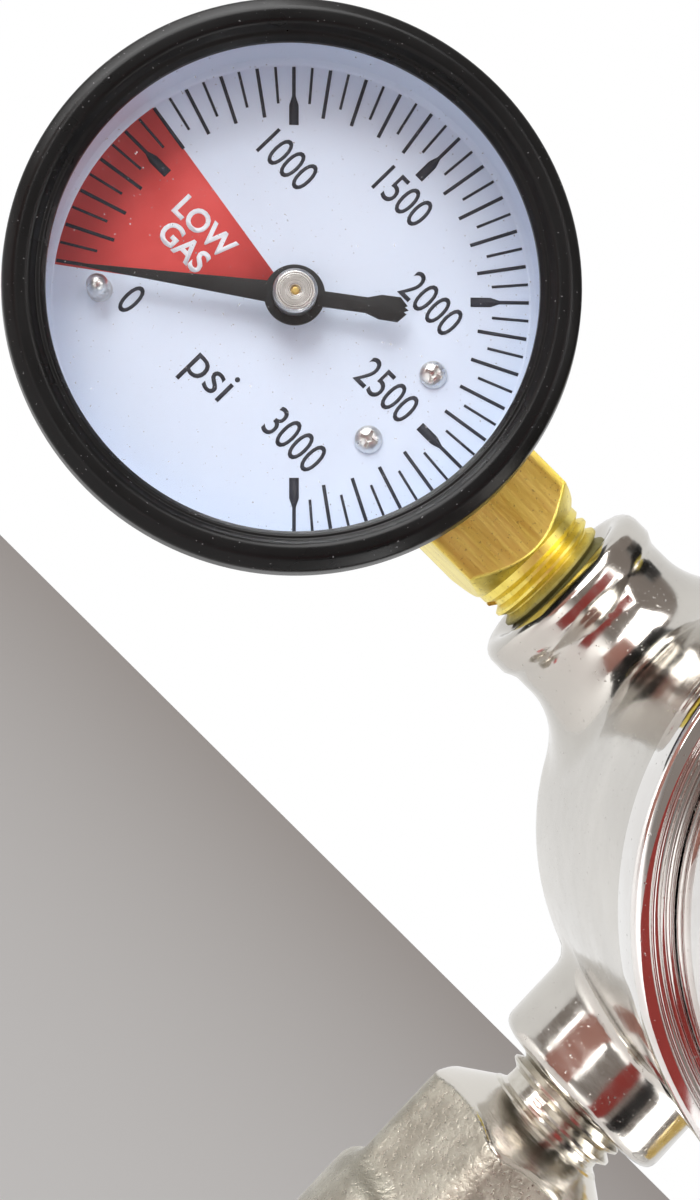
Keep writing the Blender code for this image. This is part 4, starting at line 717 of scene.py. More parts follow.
print("bonnet and screw")
addPiece("bonnetShell", bonnetShape(), looks["chrome"], "housing", ["bonnet"], 40)
addPiece("adjustingScrew", screwShape(), looks["steel"], "adjusting_screw",
         ["adjusting_screw"])
addPiece("lockNut", joined([(nutShape(17.0, 65.5, 71.5, 5.0), place(turn=forward))]),
         looks["steel"], "lock_nut", ["lock_nut"])


# gauges

gaugeSizes = {
    "case": 24.9, "wall": 1.0, "back": 10.5, "front": 14.8, "bezel": 26.5, "window": 22.5,
    "bezelFront": 19.2, "lipBack": 16.9, "dialFront": 9.56, "dialThick": 0.76, "dialRim": 14.9,
    "square": 13.8, "squareEnd": 33.95, "pointerFront": 12.4, "hubFront": 14.67,
    "lens": 24.6, "lensBack": 15.1, "lensFront": 16.6, "zero": -127.5,
}


def caseShape():
    s = gaugeSizes
    inner = s["case"] - s["wall"]
    shell = lathe([(0, s["wall"] - s["back"]), (inner, s["wall"] - s["back"], 1.2),
                   (inner, s["front"], 0.2), (s["case"], s["front"], 0.2),
                   (s["case"], -s["back"], 2.4), (0, -s["back"])], 144)
    half = s["square"] / 2 + 0.3
    hole = block((15, -half, -half), (s["case"] + 3, half, half), 0.6)
    return carved(shell, hole)


def bezelShape():
    s = gaugeSizes
    face, window, rim = s["bezelFront"], s["window"], s["bezel"]
    outline = [
        (window, face - 1.75, 0.25), (window + 0.35, face - 1.05, 0.3),
        (window + 0.75, face - 1.05, 0.25), (window + 1.25, face - 0.1, 0.7),
        (rim - 1.5, face - 0.0, 0.9), (rim - 0.35, face - 0.7, 0.7),
        (rim, face - 2.4, 0.8), (rim, s["dialFront"] + 0.3, 0.5),
        (s["case"] + 0.3, s["dialFront"] - 0.2, 0.2), (s["case"] + 0.3, s["lipBack"], 0.1),
        (window, s["lipBack"], 0.1),
    ]
    return lathe(outline, 180, ring=True)


def dialScrewShape():
    low = gaugeSizes["dialFront"] + 0.05
    head = lathe([(0, low + 0.80), (0.55, low + 0.75), (1.05, low + 0.55), (1.35, low + 0.22, 0.1),
                  (1.32, low, 0.05), (0.9, low), (0.9, low - 3.6, 0.3), (0, low - 3.8)], 40)
    tools = []
    for turn in (0, 90):
        blade = block((-0.85, -0.17, low + 0.2), (0.85, 0.17, low + 2.0))
        blade.transform(Matrix.Rotation(math.radians(turn + 20), 4, "Z"))
        tools.append(blade)
    middle = lathe([(0, low + 2), (0.42, low + 2), (0.30, low + 0.12), (0, low + 0.05)], 16)
    return carved(head, *tools, middle)


def pointerShape():
    hub = 2.9
    front = gaugeSizes["pointerFront"]
    outline = [(20.3, -0.12), (20.3, 0.12)]
    rootAngle, neckAngle = math.degrees(math.asin(1.0 / hub)), math.degrees(math.asin(0.75 / hub))
    outline += arcPoints(hub, rootAngle, 180 - neckAngle, 24)
    outline += [(-6.9, 0.75), (-7.5, 0.95), (-8.2, 1.18), (-10.0, 1.2), (-10.75, 0.35),
                (-10.45, 0.18), (-10.9, -0.05), (-10.5, -0.3), (-10.75, -0.45), (-10.0, -1.2),
                (-8.2, -1.18), (-7.5, -0.95), (-6.9, -0.75)]
    outline += arcPoints(hub, 180 + neckAngle, 360 - rootAngle, 24)
    return plateShape(outline, front - 0.4, front, 0.09, [(0, 0, 1.36)], 2)


def hubShape():
    s = gaugeSizes
    top, plate = s["hubFront"], s["pointerFront"]
    return lathe([(0, top - 0.12), (0.28, top - 0.12, 0.05), (0.34, top - 0.3, 0.05),
                  (0.42, top - 0.3, 0.05), (0.5, top, 0.06), (1.8, top, 0.1),
                  (2.1, top - 0.28, 0.12), (2.1, plate + 0.3), (1.1, plate + 0.3),
                  (1.1, plate - 0.7), (2.0, plate - 0.7), (2.0, plate - 1.1, 0.1),
                  (0.8, plate - 1.1), (0.8, -3.6), (0, -3.6)], 64)


def stopPinShape():
    front, low = gaugeSizes["pointerFront"], gaugeSizes["dialFront"] + 0.02
    return lathe([(0, front + 0.75), (0.5, front + 0.6), (0.9, front + 0.2), (1.06, front - 0.4),
                  (1.06, low + 0.25, 0.1), (1.25, low, 0.05), (0.6, low), (0.6, low - 0.8),
                  (0, low - 0.8)], 40)


def stemShape():
    s = gaugeSizes
    half, end = s["square"] / 2, s["squareEnd"]
    corner, foot = half * math.sqrt(2) * 0.985, 6.75
    outline = [(0, end + 0.2), (foot - 0.3, end + 0.2), (foot, end, 0.1),
               (corner, end - (corner - foot) * 0.92, 0.2), (corner, 20.0), (corner, 11.5, 0.3),
               (0, 11.5)]
    bar = lathe(outline, 192, rows=0.16)
    bar = squareOff(bar, 4, s["square"], 0.22, 45)
    return bar


def stemThreadShape():
    end = gaugeSizes["squareEnd"]
    core = lathe([(0, 45.8), (5.2, 45.8), (5.75, 45.0, 0.2), (5.95, end + 1.4, 0.15),
                  (6.62, end + 0.9, 0.12), (6.62, end - 0.6), (0, end - 0.6)], 128)
    ridge = thread(6.65, 0.82, pipePitch, end + 1.25, 45.4, 64)
    return [core, ridge]


def wedge(radius, start, end, inner=0.0, steps=40):
    # a sector in dial angles, clockwise from the top
    outer = arcPoints(radius, 90 - start, 90 - end, steps)
    return outer + ([(0, 0)] if not inner else arcPoints(inner, 90 - end, 90 - start, steps))


def tick(angle, outer, inner, half, paddle=None):
    # a mark on the dial; paddle is the (half width, length) of its broad end
    if paddle:
        wide, size = paddle
        points = [(-half, outer), (half, outer), (half, inner + size + 0.9),
                  (wide, inner + size), (wide, inner), (-wide, inner), (-wide, inner + size),
                  (-half, inner + size + 0.9)]
    else:
        points = [(-half, outer), (half, outer), (half, inner), (-half, inner)]
    turn = Matrix.Rotation(math.radians(-angle), 2)
    return [tuple(turn @ Vector(point)) for point in points]


def flatPrint(outlines, level, thick=0.015):
    shape = bmesh.new()
    for outline in outlines:
        addSheet(shape, outline, level, thick)
    bmesh.ops.recalc_face_normals(shape, faces=shape.faces)
    return shape


def lettering(words, size, at, level, squeeze=1.0, weight=0.0):
    # words centred on a place on the dial, as a thin flat shape
    curve = bpy.data.curves.new("words", "FONT")
    curve.body, curve.size = words, size * mm
    curve.align_x, curve.align_y = "CENTER", "CENTER"
    curve.extrude, curve.offset, curve.resolution_u = 0.0075 * mm, weight * mm, 4
    shape = worked(linked("words", curve))
    bpy.data.curves.remove(curve)
    bmesh.ops.remove_doubles(shape, verts=shape.verts, dist=1e-8)
    shape.transform(Matrix.Translation((at[0] * mm, at[1] * mm, level * mm))
                    @ Matrix.Diagonal((squeeze, 1, 1, 1)))
    return shape


printSizes = {
    "outer": 22.9, "minor": 3.6, "middle": 4.85, "major": 5.75, "thin": 0.13, "bold": 0.17,
    "paddle": (0.46, 1.95), "level": 9.585, "redLevel": 9.572, "whiteLevel": 9.60,
    "numberSize": 4.5, "unitSize": 4.9, "wordSize": 3.2,
}
gaugeScales = {
    "tank": {
        "start": -135.0, "perUnit": 0.09, "marks": (100, 3000, 50), "middle": 100, "major": 500,
        "numbers": {"0": (-10.9, -11.2), "1000": (-10.3, 9.1), "1500": (0, 14.6),
                    "2000": (9.6, 9.1), "2500": (12.5, 0.05), "3000": (9.6, -9.7)},
        "red": (-127.0, -81.0), "words": {"LOW": (-11.06, -1.25), "GAS": (-11.06, -3.99)},
    },
    "output": {
        "start": -126.0, "perUnit": 4.35, "marks": (0, 60, 1), "middle": 2, "major": 10,
        "numbers": {"0": (-12.1, -9.6), "10": (-14.3, 0.9), "20": (-9.3, 10.3),
                    "30": (0.4, 14.6), "40": (10.3, 9.7), "50": (14.6, 0.2),
                    "60": (11.9, -10.2)},
        "red": None, "words": {},
    },
}


def dialShape():
    s = gaugeSizes
    low, high = s["dialFront"] - s["dialThick"], s["dialFront"]
    rim = s["dialRim"]
    return lathe([(1.9, low), (1.9, high, 0.05), (23.1, high, 0.35), (23.45, high + 0.9, 0.3),
                  (23.5, rim, 0.1), (23.7, rim, 0.1), (23.7, low, 0.4)], 180, ring=True)


def dialMarks(scale):
    s = printSizes
    first, last, step = scale["marks"]
    marks = []
    for value in range(first, last + 1, step):
        angle = scale["start"] + scale["perUnit"] * value
        if value % scale["major"] == 0 and value:
            marks.append(tick(angle, s["outer"], s["outer"] - s["major"], s["bold"], s["paddle"]))
        else:
            long = s["middle"] if value % scale["middle"] == 0 else s["minor"]
            half = s["bold"] if value % scale["middle"] == 0 else s["thin"]
            marks.append(tick(angle, s["outer"], s["outer"] - long, half))
    return flatPrint(marks, s["level"])


def makeGauge(prefix, at, turn, scale):
    s, p = gaugeSizes, printSizes
    upright = place(at, forward)
    turned = place(turn=forward, parent=place(at, (0, turn, 0)))
    stem = place(turn=right, parent=place(at, (0, turn, 0)))
    node = f"{prefix}_gauge"
    axis, mouth = (0, (-120.0, 1)) if prefix == "tank" else (2, (38.0, -1))
    title = prefix + "Gauge"
    black = looks["black_paint"]

    def add(name, parts, look, nodes=(), body="housing", sharp=32):
        shape = joined(parts)
        return addPiece(title + name, shape, look, body,
                        [f"{node}_{item}" for item in nodes], sharp)

    add("Case", [(caseShape(), turned)], black, ["case"])
    add("Bezel", [(bezelShape(), upright)], blackEnamel(title + "Bezel", 0.003, 0.26),
        ["bezel"], sharp=50)
    radius, low, high = s["lens"], s["lensBack"], s["lensFront"]
    lens = lathe([(0, low), (radius - 0.1, low), (radius, low + 0.1), (radius, high - 0.1),
                  (radius - 0.1, high), (0, high)], 128)
    add("Lens", [(lens, upright)], looks["lens"], ["lens"])
    centre = Vector((at[0] * mm - inletReach * mm, -s["dialFront"] * mm, at[2] * mm))
    add("Dial", [(dialShape(), upright)], dialWhite(title + "Dial", centre),
        ["dial"])
    add("Marks", [(dialMarks(scale), upright)], ink(title + "Marks", (0.022, 0.024, 0.034)),
        sharp=0)
    letters = [(lettering(words, p["numberSize"], spot, p["level"], 0.74, 0.012), upright)
               for words, spot in scale["numbers"].items()]
    letters.append((lettering("psi", p["unitSize"], (-0.4, -10.7), p["level"], 0.95), upright))
    add("Figures", letters, ink(title + "Figures", (0.028, 0.030, 0.040)), sharp=0)
    if scale["red"]:
        field = flatPrint([wedge(23.05, *scale["red"])], p["redLevel"], 0.008)
        add("RedField", [(field, upright)], ink(title + "Red", (0.66, 0.070, 0.062), 0.5),
            sharp=0)
        words = [(lettering(text, p["wordSize"], spot, p["whiteLevel"], 0.92, 0.09), upright)
                 for text, spot in scale["words"].items()]
        add("Words", words, ink(title + "White", (0.84, 0.86, 0.90), 0.4), sharp=0)
    silver = platedSteel(title + "Screws", (0.84, 0.83, 0.80), 0.26)
    for name, item, shape in (("DialScrew1", "dial_screw_1", dialScrewShape),
                              ("DialScrew2", "dial_screw_2", dialScrewShape),
                              ("StopPin", "stop_pin", stopPinShape)):
        low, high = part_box(f"{node}_{item}")
        middle = (Vector(low) + Vector(high)) / 2
        where = place((middle.x / mm + inletReach, 0, middle.z / mm), forward)
        add(name, [(shape(), where)], silver, [item])
    heading = place(turn=forward, parent=place(at, (0, s["zero"] - 90, 0)))
    add("Pointer", [(pointerShape(), heading)], ink(title + "PointerBlack", (0.008,) * 3, 0.5),
        ["pointer"], f"{prefix}_pointer")
    add("Hub", [(hubShape(), upright)], hubNickel(title + "Hub", centre),
        ["pointer_arbor"], f"{prefix}_pointer")
    stemParts = [(stemShape(), stem)] + [(part, stem) for part in stemThreadShape()]
    add("Stem", stemParts, stemBrass(title + "Stem", axis, mouth), ["socket"])


def hubNickel(name, centre):
    # nickel cap with a brass arbor at its middle
    f = Finish(name, Metallic=1.0)
    away = f.node("VectorMath", {"operation": "DISTANCE"},
                  {0: f.node("Mapping", None, {0: f.spot, 3: Vector((1, 0, 1))}),
                   1: Vector((centre.x, 0, centre.z))}, output="Value")
    rings = f.node("TexNoise", {"noise_dimensions": "1D"},
                   {"W": away, "Scale": 9000.0, "Detail": 2.0})
    smear = f.grain(700, 3)
    middle = f.between(away, 0.00034, 0.00042, 1.0, 0.0)
    colour = f.mix(f.between(smear, 0.3, 0.7), (0.60, 0.585, 0.55), (0.72, 0.70, 0.67))
    colour = f.mix(middle, colour, (0.80, 0.58, 0.20))
    return f.paint(colour, f.between(rings, 0.3, 0.7, 0.24, 0.36), rings + smear * 0.5,
                   depth=0.000012)


print("gauges")
makeGauge("tank", (-gaugeReach, 0, 0), 0, gaugeScales["tank"])
makeGauge("output", (0, 0, gaugeReach), 90, gaugeScales["output"])


# inlet: nipple, washer and nut

inletSizes = {
    "thread": 6.65, "boss": 38.0, "hexLow": 38.6, "hexHigh": 44.6, "hexFlats": 14.0,
    "shank": 6.0, "headBack": 72.0, "headFront": 79.7, "head": 9.4, "bore": 2.0, "pocket": 3.3,
    "pocketBack": 73.3, "nutFlats": 28.6, "nutBack": 66.5, "nutFront": 90.5, "nutSeat": 71.7,
    "nutHole": 6.3, "nutThread": 10.8, "nutPitch": 1.814,
    "washerBore": 3.6, "washer": 8.7, "washerBack": 80.0,
}


def nippleShape():
    s = inletSizes
    boss, low, high, shank = s["boss"], s["hexLow"], s["hexHigh"], s["shank"]
    core = lathe([(s["bore"], boss - 8), (5.6, boss - 8, 0.3), (5.95, boss + 0.2, 0.1),
                  (5.95, low + 1), (shank - 0.3, high - 0.2), (shank, high + 0.5, 0.3),
                  (shank, s["headBack"] - 0.5, 0.4), (s["head"] - 0.4, s["headBack"], 0.2),
                  (s["head"], s["headBack"] + 0.5, 0.3), (s["head"], s["headFront"] - 0.5, 0.3),
                  (s["head"] - 0.5, s["headFront"], 0.1), (s["pocket"], s["headFront"], 0.1),
                  (s["pocket"], s["pocketBack"]), (s["bore"], s["pocketBack"])], 96, ring=True)
    wrench = nutShape(s["hexFlats"], low, high, shank - 0.6)
    ridge = thread(s["thread"], 0.78, pipePitch, boss - 7.5, boss - 0.1, 48)
    return joined([(part, place(turn=right)) for part in (core, wrench, ridge)])


def inletNutShape():
    s = inletSizes
    back, front, seat, bore = s["nutBack"], s["nutFront"], s["nutSeat"], s["nutThread"]
    hole = s["nutHole"]
    inside = [(bore + 0.9, front, 0.2), (bore, front - 1.2, 0.1), (bore, seat), (hole, seat),
              (hole, back + 0.4, 0.1), (hole + 0.4, back, 0.1)]
    nut = nutShape(s["nutFlats"], back, front, bore, 192, inside)
    ridge = thread(bore - 0.75, -0.75, s["nutPitch"], seat + 1.6, front - 1.9, 64)
    return joined([(nut, place(turn=right)), (ridge, place(turn=right))])


def washerShape():
    s = inletSizes
    bore, edge, back = s["washerBore"], s["washer"], s["washerBack"]
    ring = lathe([(bore, back, 0.15), (edge, back, 0.35), (edge, inletReach, 0.35),
                  (bore, inletReach, 0.15)], 96, ring=True)
    return joined([(ring, place(turn=right))])


print("inlet")
addPiece("inletNipple", nippleShape(), looks["nickel"], "housing", ["inlet_nipple"])
addPiece("inletWasher", washerShape(), looks["nylon"], "housing", ["inlet_washer"])
addPiece("inletNut", inletNutShape(), looks["nickel"], "inlet_nut", ["inlet_nut"])


# shut-off valve; reach is measured down from the body's axis

valveSizes = {
    "flats": 21.0, "thread": 6.65, "threadLow": 27.7, "threadHigh": 38.9, "groove": 5.9,
    "cone": (6.65, 39.9, 0.75), "hexEnd": 56.0, "chamber": 12.6, "end": 71.0, "bore": 7.6,
    "channel": 3.3, "boreLow": 53.0, "centre": 61.0, "boss": 6.2, "bossReach": 17.0,
    "leverBack": 20.3, "leverFront": 22.8, "leverWidth": 9.0, "leverEnd": 109.0, "hub": 7.0,
    "screw": 2.4, "screwTop": 26.2, "stem": 3.0, "stemLow": 7.3, "shoulder": 20.0,
    "gripLength": 34.0, "gripSkin": 1.5,
}


def valveDistance(spots):
    s = valveSizes
    x, y, reach = spots[:, 0], spots[:, 1], -spots[:, 2]
    away, half = np.hypot(x, y), s["flats"] / 2
    across, lean = x * math.sqrt(0.75), y * 0.5
    bar = roundMax(np.abs(across + lean) - half, np.abs(across - lean) - half, 1.3)
    bar = roundMax(bar, np.abs(y) - half, 1.3)
    radius, start, slope = s["cone"]
    cone = (away - radius - (reach - start) / slope) / math.hypot(1, 1 / slope)
    bar = roundMax(roundMax(bar, reach - s["hexEnd"] - 0.8, 0.6), cone, 0.35)
    bar = np.maximum(bar, start - 1.0 - reach)
    drum = roundMax(away - s["chamber"], reach - s["end"], 1.4)
    drum = roundMax(drum, (away - half - (reach - 54.5) * 1.4) / 1.72, 0.8)
    solid = roundMin(bar, drum, 1.2)
    boss = roundMax(np.hypot(x, reach - s["centre"]) - s["boss"], -y - s["bossReach"], 0.8)
    solid = roundMin(solid, np.maximum(boss, y), 1.8)
    hole = np.maximum(away - s["bore"], s["boreLow"] - reach)
    hole = np.minimum(hole, away - s["channel"])
    return roundMax(solid, -hole, 0.3)


def valveBlank():
    s = valveSizes
    radius, start, slope = s["cone"]
    bar = lathe([(s["channel"], start - 0.9), (radius, start - 0.9), (radius, start),
                 (12.1, start + 4.1), (12.1, s["hexEnd"]), (s["channel"], s["hexEnd"])], 96,
                ring=True, rows=1.0)
    bar = squareOff(bar, 6, s["flats"], 0.3)
    drum = lathe([(s["bore"], 55.0), (10.6, 55.0), (s["chamber"], 56.5), (s["chamber"], s["end"]),
                  (s["bore"], s["end"])], 64, ring=True)
    boss = lathe([(0, s["bossReach"]), (s["boss"], s["bossReach"]), (s["boss"], 9.0), (0, 9.0)],
                 48)
    tool = lathe([(0, s["end"] + 1), (s["bore"], s["end"] + 1), (s["bore"], s["boreLow"]),
                  (0, s["boreLow"])], 48)
    bar = carved(bar, tool)
    return joined([(bar, place(turn=down)), (drum, place(turn=down)),
                   (boss, place((0, 0, -s["centre"]), forward))])


def valveNeckShape():
    s = valveSizes
    radius, start, slope = s["cone"]
    groove, low, high = s["groove"], s["threadLow"], s["threadHigh"]
    core = lathe([(s["channel"], low), (5.55, low, 0.3), (groove - 0.05, high - 0.2),
                  (groove, high + 0.1, 0.1), (groove, start - 0.45, 0.2),
                  (radius, start - 0.1, 0.1), (radius + 0.25, start + 0.25),
                  (s["channel"], start + 0.25)], 128, ring=True)
    ridge = thread(s["thread"], 0.80, pipePitch, low + 0.5, high - 0.5, 64, 40)
    return joined([(core, place(turn=down)), (ridge, place(turn=down))])


def leverShape():
    s = valveSizes
    hub, half = s["hub"], s["leverWidth"] / 2
    spread = math.degrees(math.asin(half / hub))
    outline = arcPoints(hub, -90 + spread, 270 - spread, 56)
    outline += arcPoints(half, 180, 360, 28, (0, s["centre"] - s["leverEnd"] + half))
    return plateShape(outline, s["leverBack"], s["leverFront"], 0.35,
                      [(0, 0, s["screw"] + 0.25)])


def gripShape():
    s = valveSizes
    inner = s["leverWidth"] / 2 + 0.3
    outer, tip = inner + s["gripSkin"], s["centre"] - s["leverEnd"]
    top, middle = tip + s["gripLength"], (0, tip + s["leverWidth"] / 2)
    back, front, skin = s["leverBack"] - 0.3, s["leverFront"] + 0.3, s["gripSkin"]
    outline = arcPoints(outer, 180, 360, 32, middle) + [(outer, top), (-outer, top)]
    grip = plateShape(outline, back - skin, front + skin, 1.1, segments=5)
    hollow = arcPoints(inner, 180, 360, 24, middle) + [(inner, top + 1), (-inner, top + 1)]
    grip = carved(grip, plateShape(hollow, back, front))
    tools = []
    for i in range(9):
        level = tip + 7.5 + i * 2.6
        for side in (back - skin - 0.35, front + skin - 0.25):
            tools.append(block((-3.6, level, side), (3.6, level + 0.8, side + 0.6), 0.15))
    return carved(grip, *tools)


def barbShape():
    s = valveSizes
    low, high, root, crest, bore, pitch, count = 71.3, 78.0, 3.8, 4.6, 2.7, 4.5, 5
    tail = high + 3.0
    end = tail + count * pitch
    outline = [(bore, end, 0.2), (root - 0.2, end, 0.3)]
    for i in range(count):
        foot = end - (i + 1) * pitch
        outline += [(crest, foot + 0.75, 0.15), (crest, foot + 0.4, 0.15), (root, foot, 0.2)]
    outline += [(root, high - 0.3), (s["bore"] - 0.3, high - 0.3), (s["bore"] - 0.3, 69.0),
                (bore, 69.0)]
    tail = lathe(outline, 96, ring=True)
    wrench = nutShape(19.0, low, high, bore + 0.1)
    return joined([(tail, place(turn=down)), (wrench, place(turn=down))])


def valveStemShape():
    s = valveSizes
    top, stem, low, shoulder = s["screwTop"], s["stem"], s["stemLow"], s["shoulder"]
    core = s["screw"] - 0.05
    rod = lathe([(0, top), (core - 0.25, top, 0.2), (core, top - 0.3, 0.1),
                 (core, shoulder + 0.2, 0.1), (stem, shoulder, 0.15), (stem, low, 0.2),
                 (0, low)], 64)
    ridge = thread(s["screw"], 0.3, 0.8, 22.9, top - 0.3, 32)
    tang = block((-2.0, -0.8, low - 1.6), (2.0, 0.8, low + 1.0), 0.1)
    return joined([(part, place(pivot, forward)) for part in (rod, ridge, tang)])


print("valve")
pivot = (0, 0, -valveSizes["centre"])
valveShape = castShape(valveBlank(), valveDistance, 0.42)
addPiece("valveBody", valveShape, castNickel("valveNickel", valveSizes["cone"]), "housing",
         ["valve_body"], 0)
addPiece("valveNeck", valveNeckShape(), turnedMetal("neckNickel", 2, (0.68, 0.65, 0.59),
                                                    (0.52, 0.49, 0.43), 0.12),
         "housing", [])
addPiece("valveStem", valveStemShape(), looks["steel"], "valve_handle", ["valve_stem"])
addPiece("valveLever", joined([(leverShape(), place(pivot, forward))]),
         platedSteel("leverSteel", (0.64, 0.63, 0.61), 0.2), "valve_handle",
         ["valve_lever"])
addPiece("leverGrip", joined([(gripShape(), place(pivot, forward))]), looks["red_vinyl"],
         "valve_handle", ["lever_grip"])
addPiece("leverNut", joined([(nutShape(8.0, 23.1, 25.9, 2.7, 96), place(pivot, forward))]),
         looks["steel"], "valve_handle", ["lever_nut"])
addPiece("hoseAdapter", barbShape(), looks["nickel"], "housing", ["hose_adapter"])


# relief valve, on its own axis at 45 degrees

reliefSizes = {"mouth": 34.0, "hexLow": 34.3, "hexHigh": 40.0, "flats": 14.0, "barrel": 6.2,
               "top": 49.0, "eye": 54.5, "rod": 1.4, "knob": 2.8, "ring": 9.0, "wire": 0.8}


def reliefBodyShape():
    s = reliefSizes
    low, high, top, barrel = s["hexLow"], s["hexHigh"], s["top"], s["barrel"]
    tube = lathe([(1.5, 26.0), (4.3, 26.0, 0.2), (4.4, low + 1), (barrel - 0.4, high - 0.4),
                  (barrel - 0.25, high + 0.4, 0.2), (barrel, high + 1.2, 0.2),
                  (barrel, top - 3.2, 0.15), (barrel - 0.3, top - 3.0, 0.1),
                  (barrel - 0.3, top - 2.5, 0.1), (barrel, top - 2.3, 0.15),
                  (barrel, top - 1.0, 0.3), (barrel - 1.0, top, 0.3), (s["rod"] + 0.3, top, 0.15),
                  (s["rod"] + 0.3, top - 1.5), (4.0, top - 1.5), (4.0, 31.0), (1.5, 31.0)], 96,
                 ring=True)
    vent = block((-0.9, -barrel - 1, high + 2), (0.9, barrel + 1, high + 3.8))
    tube = carved(tube, vent)
    wrench = nutShape(s["flats"], low, high, 4.2)
    ridge = thread(4.85, 0.55, 0.94, 26.4, 33.7, 40)
    return joined([(part, place(turn=lowerRight)) for part in (tube, wrench, ridge)])


def reliefStemShape():
    s = reliefSizes
    eye, knob, rod = s["eye"], s["knob"], s["rod"]
    shape = lathe([(0, eye + knob), (0.6 * knob, eye + 0.8 * knob, 0.6), (knob, eye, 1.2),
                   (0.8 * knob, eye - 0.6 * knob, 0.5), (rod, eye - 0.85 * knob, 0.3),
                   (rod, 33.5), (3.4, 33.5, 0.2), (3.4, 31.3, 0.2), (0, 31.3)], 64)
    cheeks = [block((-6, side * 4.2 - 3, eye - 0.9 * knob), (6, side * 4.2 + 3, eye + 6))
              for side in (-1, 1)]
    hole = lathe([(0, 6), (s["wire"] + 0.5, 6), (s["wire"] + 0.5, -6), (0, -6)], 32)
    hole.transform(Matrix.Translation((0, 0, eye * mm)) @ Matrix.Rotation(math.pi / 2, 4, "X"))
    return joined([(carved(shape, *cheeks, hole), place(turn=lowerRight))])


def ringShape():
    s = reliefSizes
    shape = lathe(arcPoints(s["wire"], 0, 360 - 22.5, 15, (s["ring"], 0)), 120, ring=True)
    eye = s["eye"] * math.sqrt(0.5)
    return joined([(shape, place((eye, 0, -eye - s["ring"]), right))])


print("relief valve")
reliefBrass = turnedMetal("reliefBrass", 1, (0.86, 0.66, 0.24), (0.64, 0.46, 0.14), 0.18)
addPiece("reliefBody", reliefBodyShape(), reliefBrass, "housing", ["relief_body"])
addPiece("reliefStem", reliefStemShape(), reliefBrass, "relief_stem", ["relief_stem"])
addPiece("reliefRing", ringShape(), looks["steel"], "relief_ring", ["relief_ring"])


# springs and the diaphragm

def coilShape(radius, wire, low, high, turns, steps=28):
    total = round(turns * steps)
    section = arcPoints(wire, 0, 330, 11, (radius, low + wire))
    return wound(section, (high - low - 2 * wire) / total, math.tau * turns, total)


def addSpring(name, node, turn, radius, wire, ends, turns, joint, travel, fixedHigh):
    low, high = ends
    piece = addPiece(name, joined([(coilShape(radius, wire, low, high, turns), place(turn=turn))]),
                     looks["spring_steel"], "housing", [node])
    way = place(turn=turn).to_3x3() @ Vector((0, 0, 1))
    anchor = bodyPlace @ (way * (high if fixedHigh else low) * mm)
    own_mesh(piece)


print("springs")
# coil radius, wire radius, the two ends and the turns; the poppet's ends come from its node
springSizes = {
    "range": (8.0, 1.0, (29.8, 52.8), 5.5), "relief": (2.6, 0.45, (33.8, 47.2), 5.0),
    "poppetRadius": 2.3, "poppetWire": 0.35, "poppetTurns": 5.0, "diaphragmKeep": 0.16,
}
addSpring("rangeSpring", "range_spring", forward, *springSizes["range"], "spring_button_slide",
          5.0, False)
addSpring("reliefSpring", "relief_spring", lowerRight, *springSizes["relief"],
          "relief_stem_slide", 2.5, True)
lowEnd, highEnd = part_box("poppet_spring")
addSpring("poppetSpring", "poppet_spring", forward, springSizes["poppetRadius"],
          springSizes["poppetWire"], (-highEnd[1] / mm, -lowEnd[1] / mm),
          springSizes["poppetTurns"], "poppet_slide", 1.0, False)
sheet = bmesh.new()
sheet.from_mesh(frame["nodes"]["diaphragm"].data)
flexing = addPiece("flexingDiaphragm", sheet, looks["rubber"], "housing", ["diaphragm"])
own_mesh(flexing)


# studio: pale floor, white backdrop, cards that the bright metal mirrors, lights and camera

def flatCard(name, at, turn, size, tone, glow=0.0):
    card = bmesh.new()
    bmesh.ops.create_grid(card, x_segments=1, y_segments=1, size=0.5)
    bmesh.ops.scale(card, vec=(size[0], size[1], 1), verts=card.verts)
    thing = linked(name, asMesh(card, name))
    thing.location = at
    thing.rotation_euler = [math.radians(angle) for angle in turn]
    f = Finish(name, Roughness=0.9, Specular_IOR_Level=0.0 if glow else 0.3)
    f.paint((0, 0, 0) if glow else tone)
    if glow:
        f.feed(f.shader.inputs["Emission Color"], tone)
        f.shader.inputs["Emission Strength"].default_value = glow
    thing.data.materials.append(f.material)
    thing.visible_camera = name == "floor"
    return thing


def softLight(name, at, towards, size, power, tone=(1, 1, 1)):
    lamp = bpy.data.lights.new(name, "AREA")
    lamp.shape, lamp.size, lamp.size_y = "RECTANGLE", *size
    lamp.energy, lamp.color = power, tone
    thing = linked(name, lamp)
    thing.location = at
    thing.rotation_euler = (Vector(towards) - Vector(at)).to_track_quat("-Z", "Y").to_euler()
    thing.visible_camera = False
    return thing


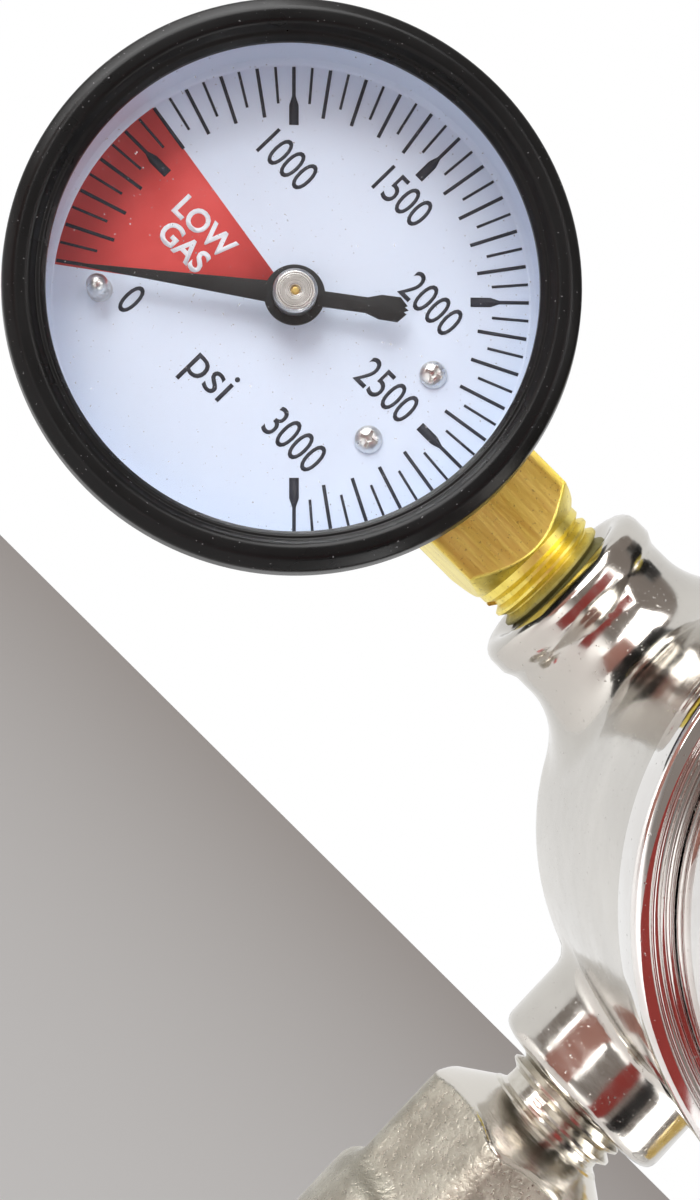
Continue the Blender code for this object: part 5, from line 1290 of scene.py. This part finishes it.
def setCamera():
    camera = linked("camera", bpy.data.cameras.new("camera"))
    across = Vector((0.70720, -0.07847, 0.70265))
    below = Vector((0.70684, 0.05601, -0.70516))
    ahead = Vector((0.01598, 0.99534, 0.09508))
    turn = Matrix((across, -below, -ahead)).transposed()
    camera.matrix_world = Matrix.Translation((-0.1419, -0.1470, -0.02109)) @ turn.to_4x4()
    camera.data.sensor_fit = "AUTO"
    camera.data.sensor_width, camera.data.lens = 36, 43.14
    camera.data.shift_x, camera.data.shift_y = -0.0178, -0.0884
    camera.data.clip_start = 0.005
    bpy.context.scene.camera = camera


print("studio")
setCamera()
world = bpy.data.worlds.new("studio")
world.use_nodes = True
tree = world.node_tree
room = tree.nodes["Background"]
room.inputs["Color"].default_value = (0.30, 0.262, 0.240, 1)
behind = tree.nodes.new("ShaderNodeBackground")      # what the camera sees past the object
behind.inputs["Color"].default_value = (1, 1, 1, 1)
share = tree.nodes.new("ShaderNodeMixShader")
ray = tree.nodes.new("ShaderNodeLightPath")
tree.links.new(ray.outputs["Is Camera Ray"], share.inputs[0])
tree.links.new(room.outputs[0], share.inputs[1])
tree.links.new(behind.outputs[0], share.inputs[2])
tree.links.new(share.outputs[0], tree.nodes["World Output"].inputs["Surface"])
bpy.context.scene.world = world
bpy.context.scene.view_settings.view_transform = "Standard"
flatCard("floor", (0, 0, -0.35), (0, 0, 0), (6, 6), (0.82, 0.82, 0.82))
flatCard("backdrop", (-0.1, 0.45, 0.0), (90, 0, 0), (5, 5), (1, 1, 1), 1.0)
flatCard("redCard", (-0.02, -0.42, -0.04), (90, 0, 10), (0.15, 0.9), (0.30, 0.040, 0.034))
flatCard("darkCard", (0.20, -0.40, 0.0), (90, 0, 30), (0.16, 0.9), (0.012, 0.011, 0.012))
flatCard("pinkCard", (-0.55, -0.34, -0.16), (90, 0, -62), (0.40, 0.42), (0.40, 0.20, 0.165))
softLight("keyLight", (-0.80, -0.50, 0.30), (-0.12, 0, 0), (0.9, 0.9), 21)
softLight("fillLight", (0.35, -0.90, 0.65), (-0.1, 0, 0), (1.0, 0.6), 15)
softLight("lowLight", (0.55, -0.25, -0.25), (-0.08, 0, 0), (0.35, 0.5), 3)
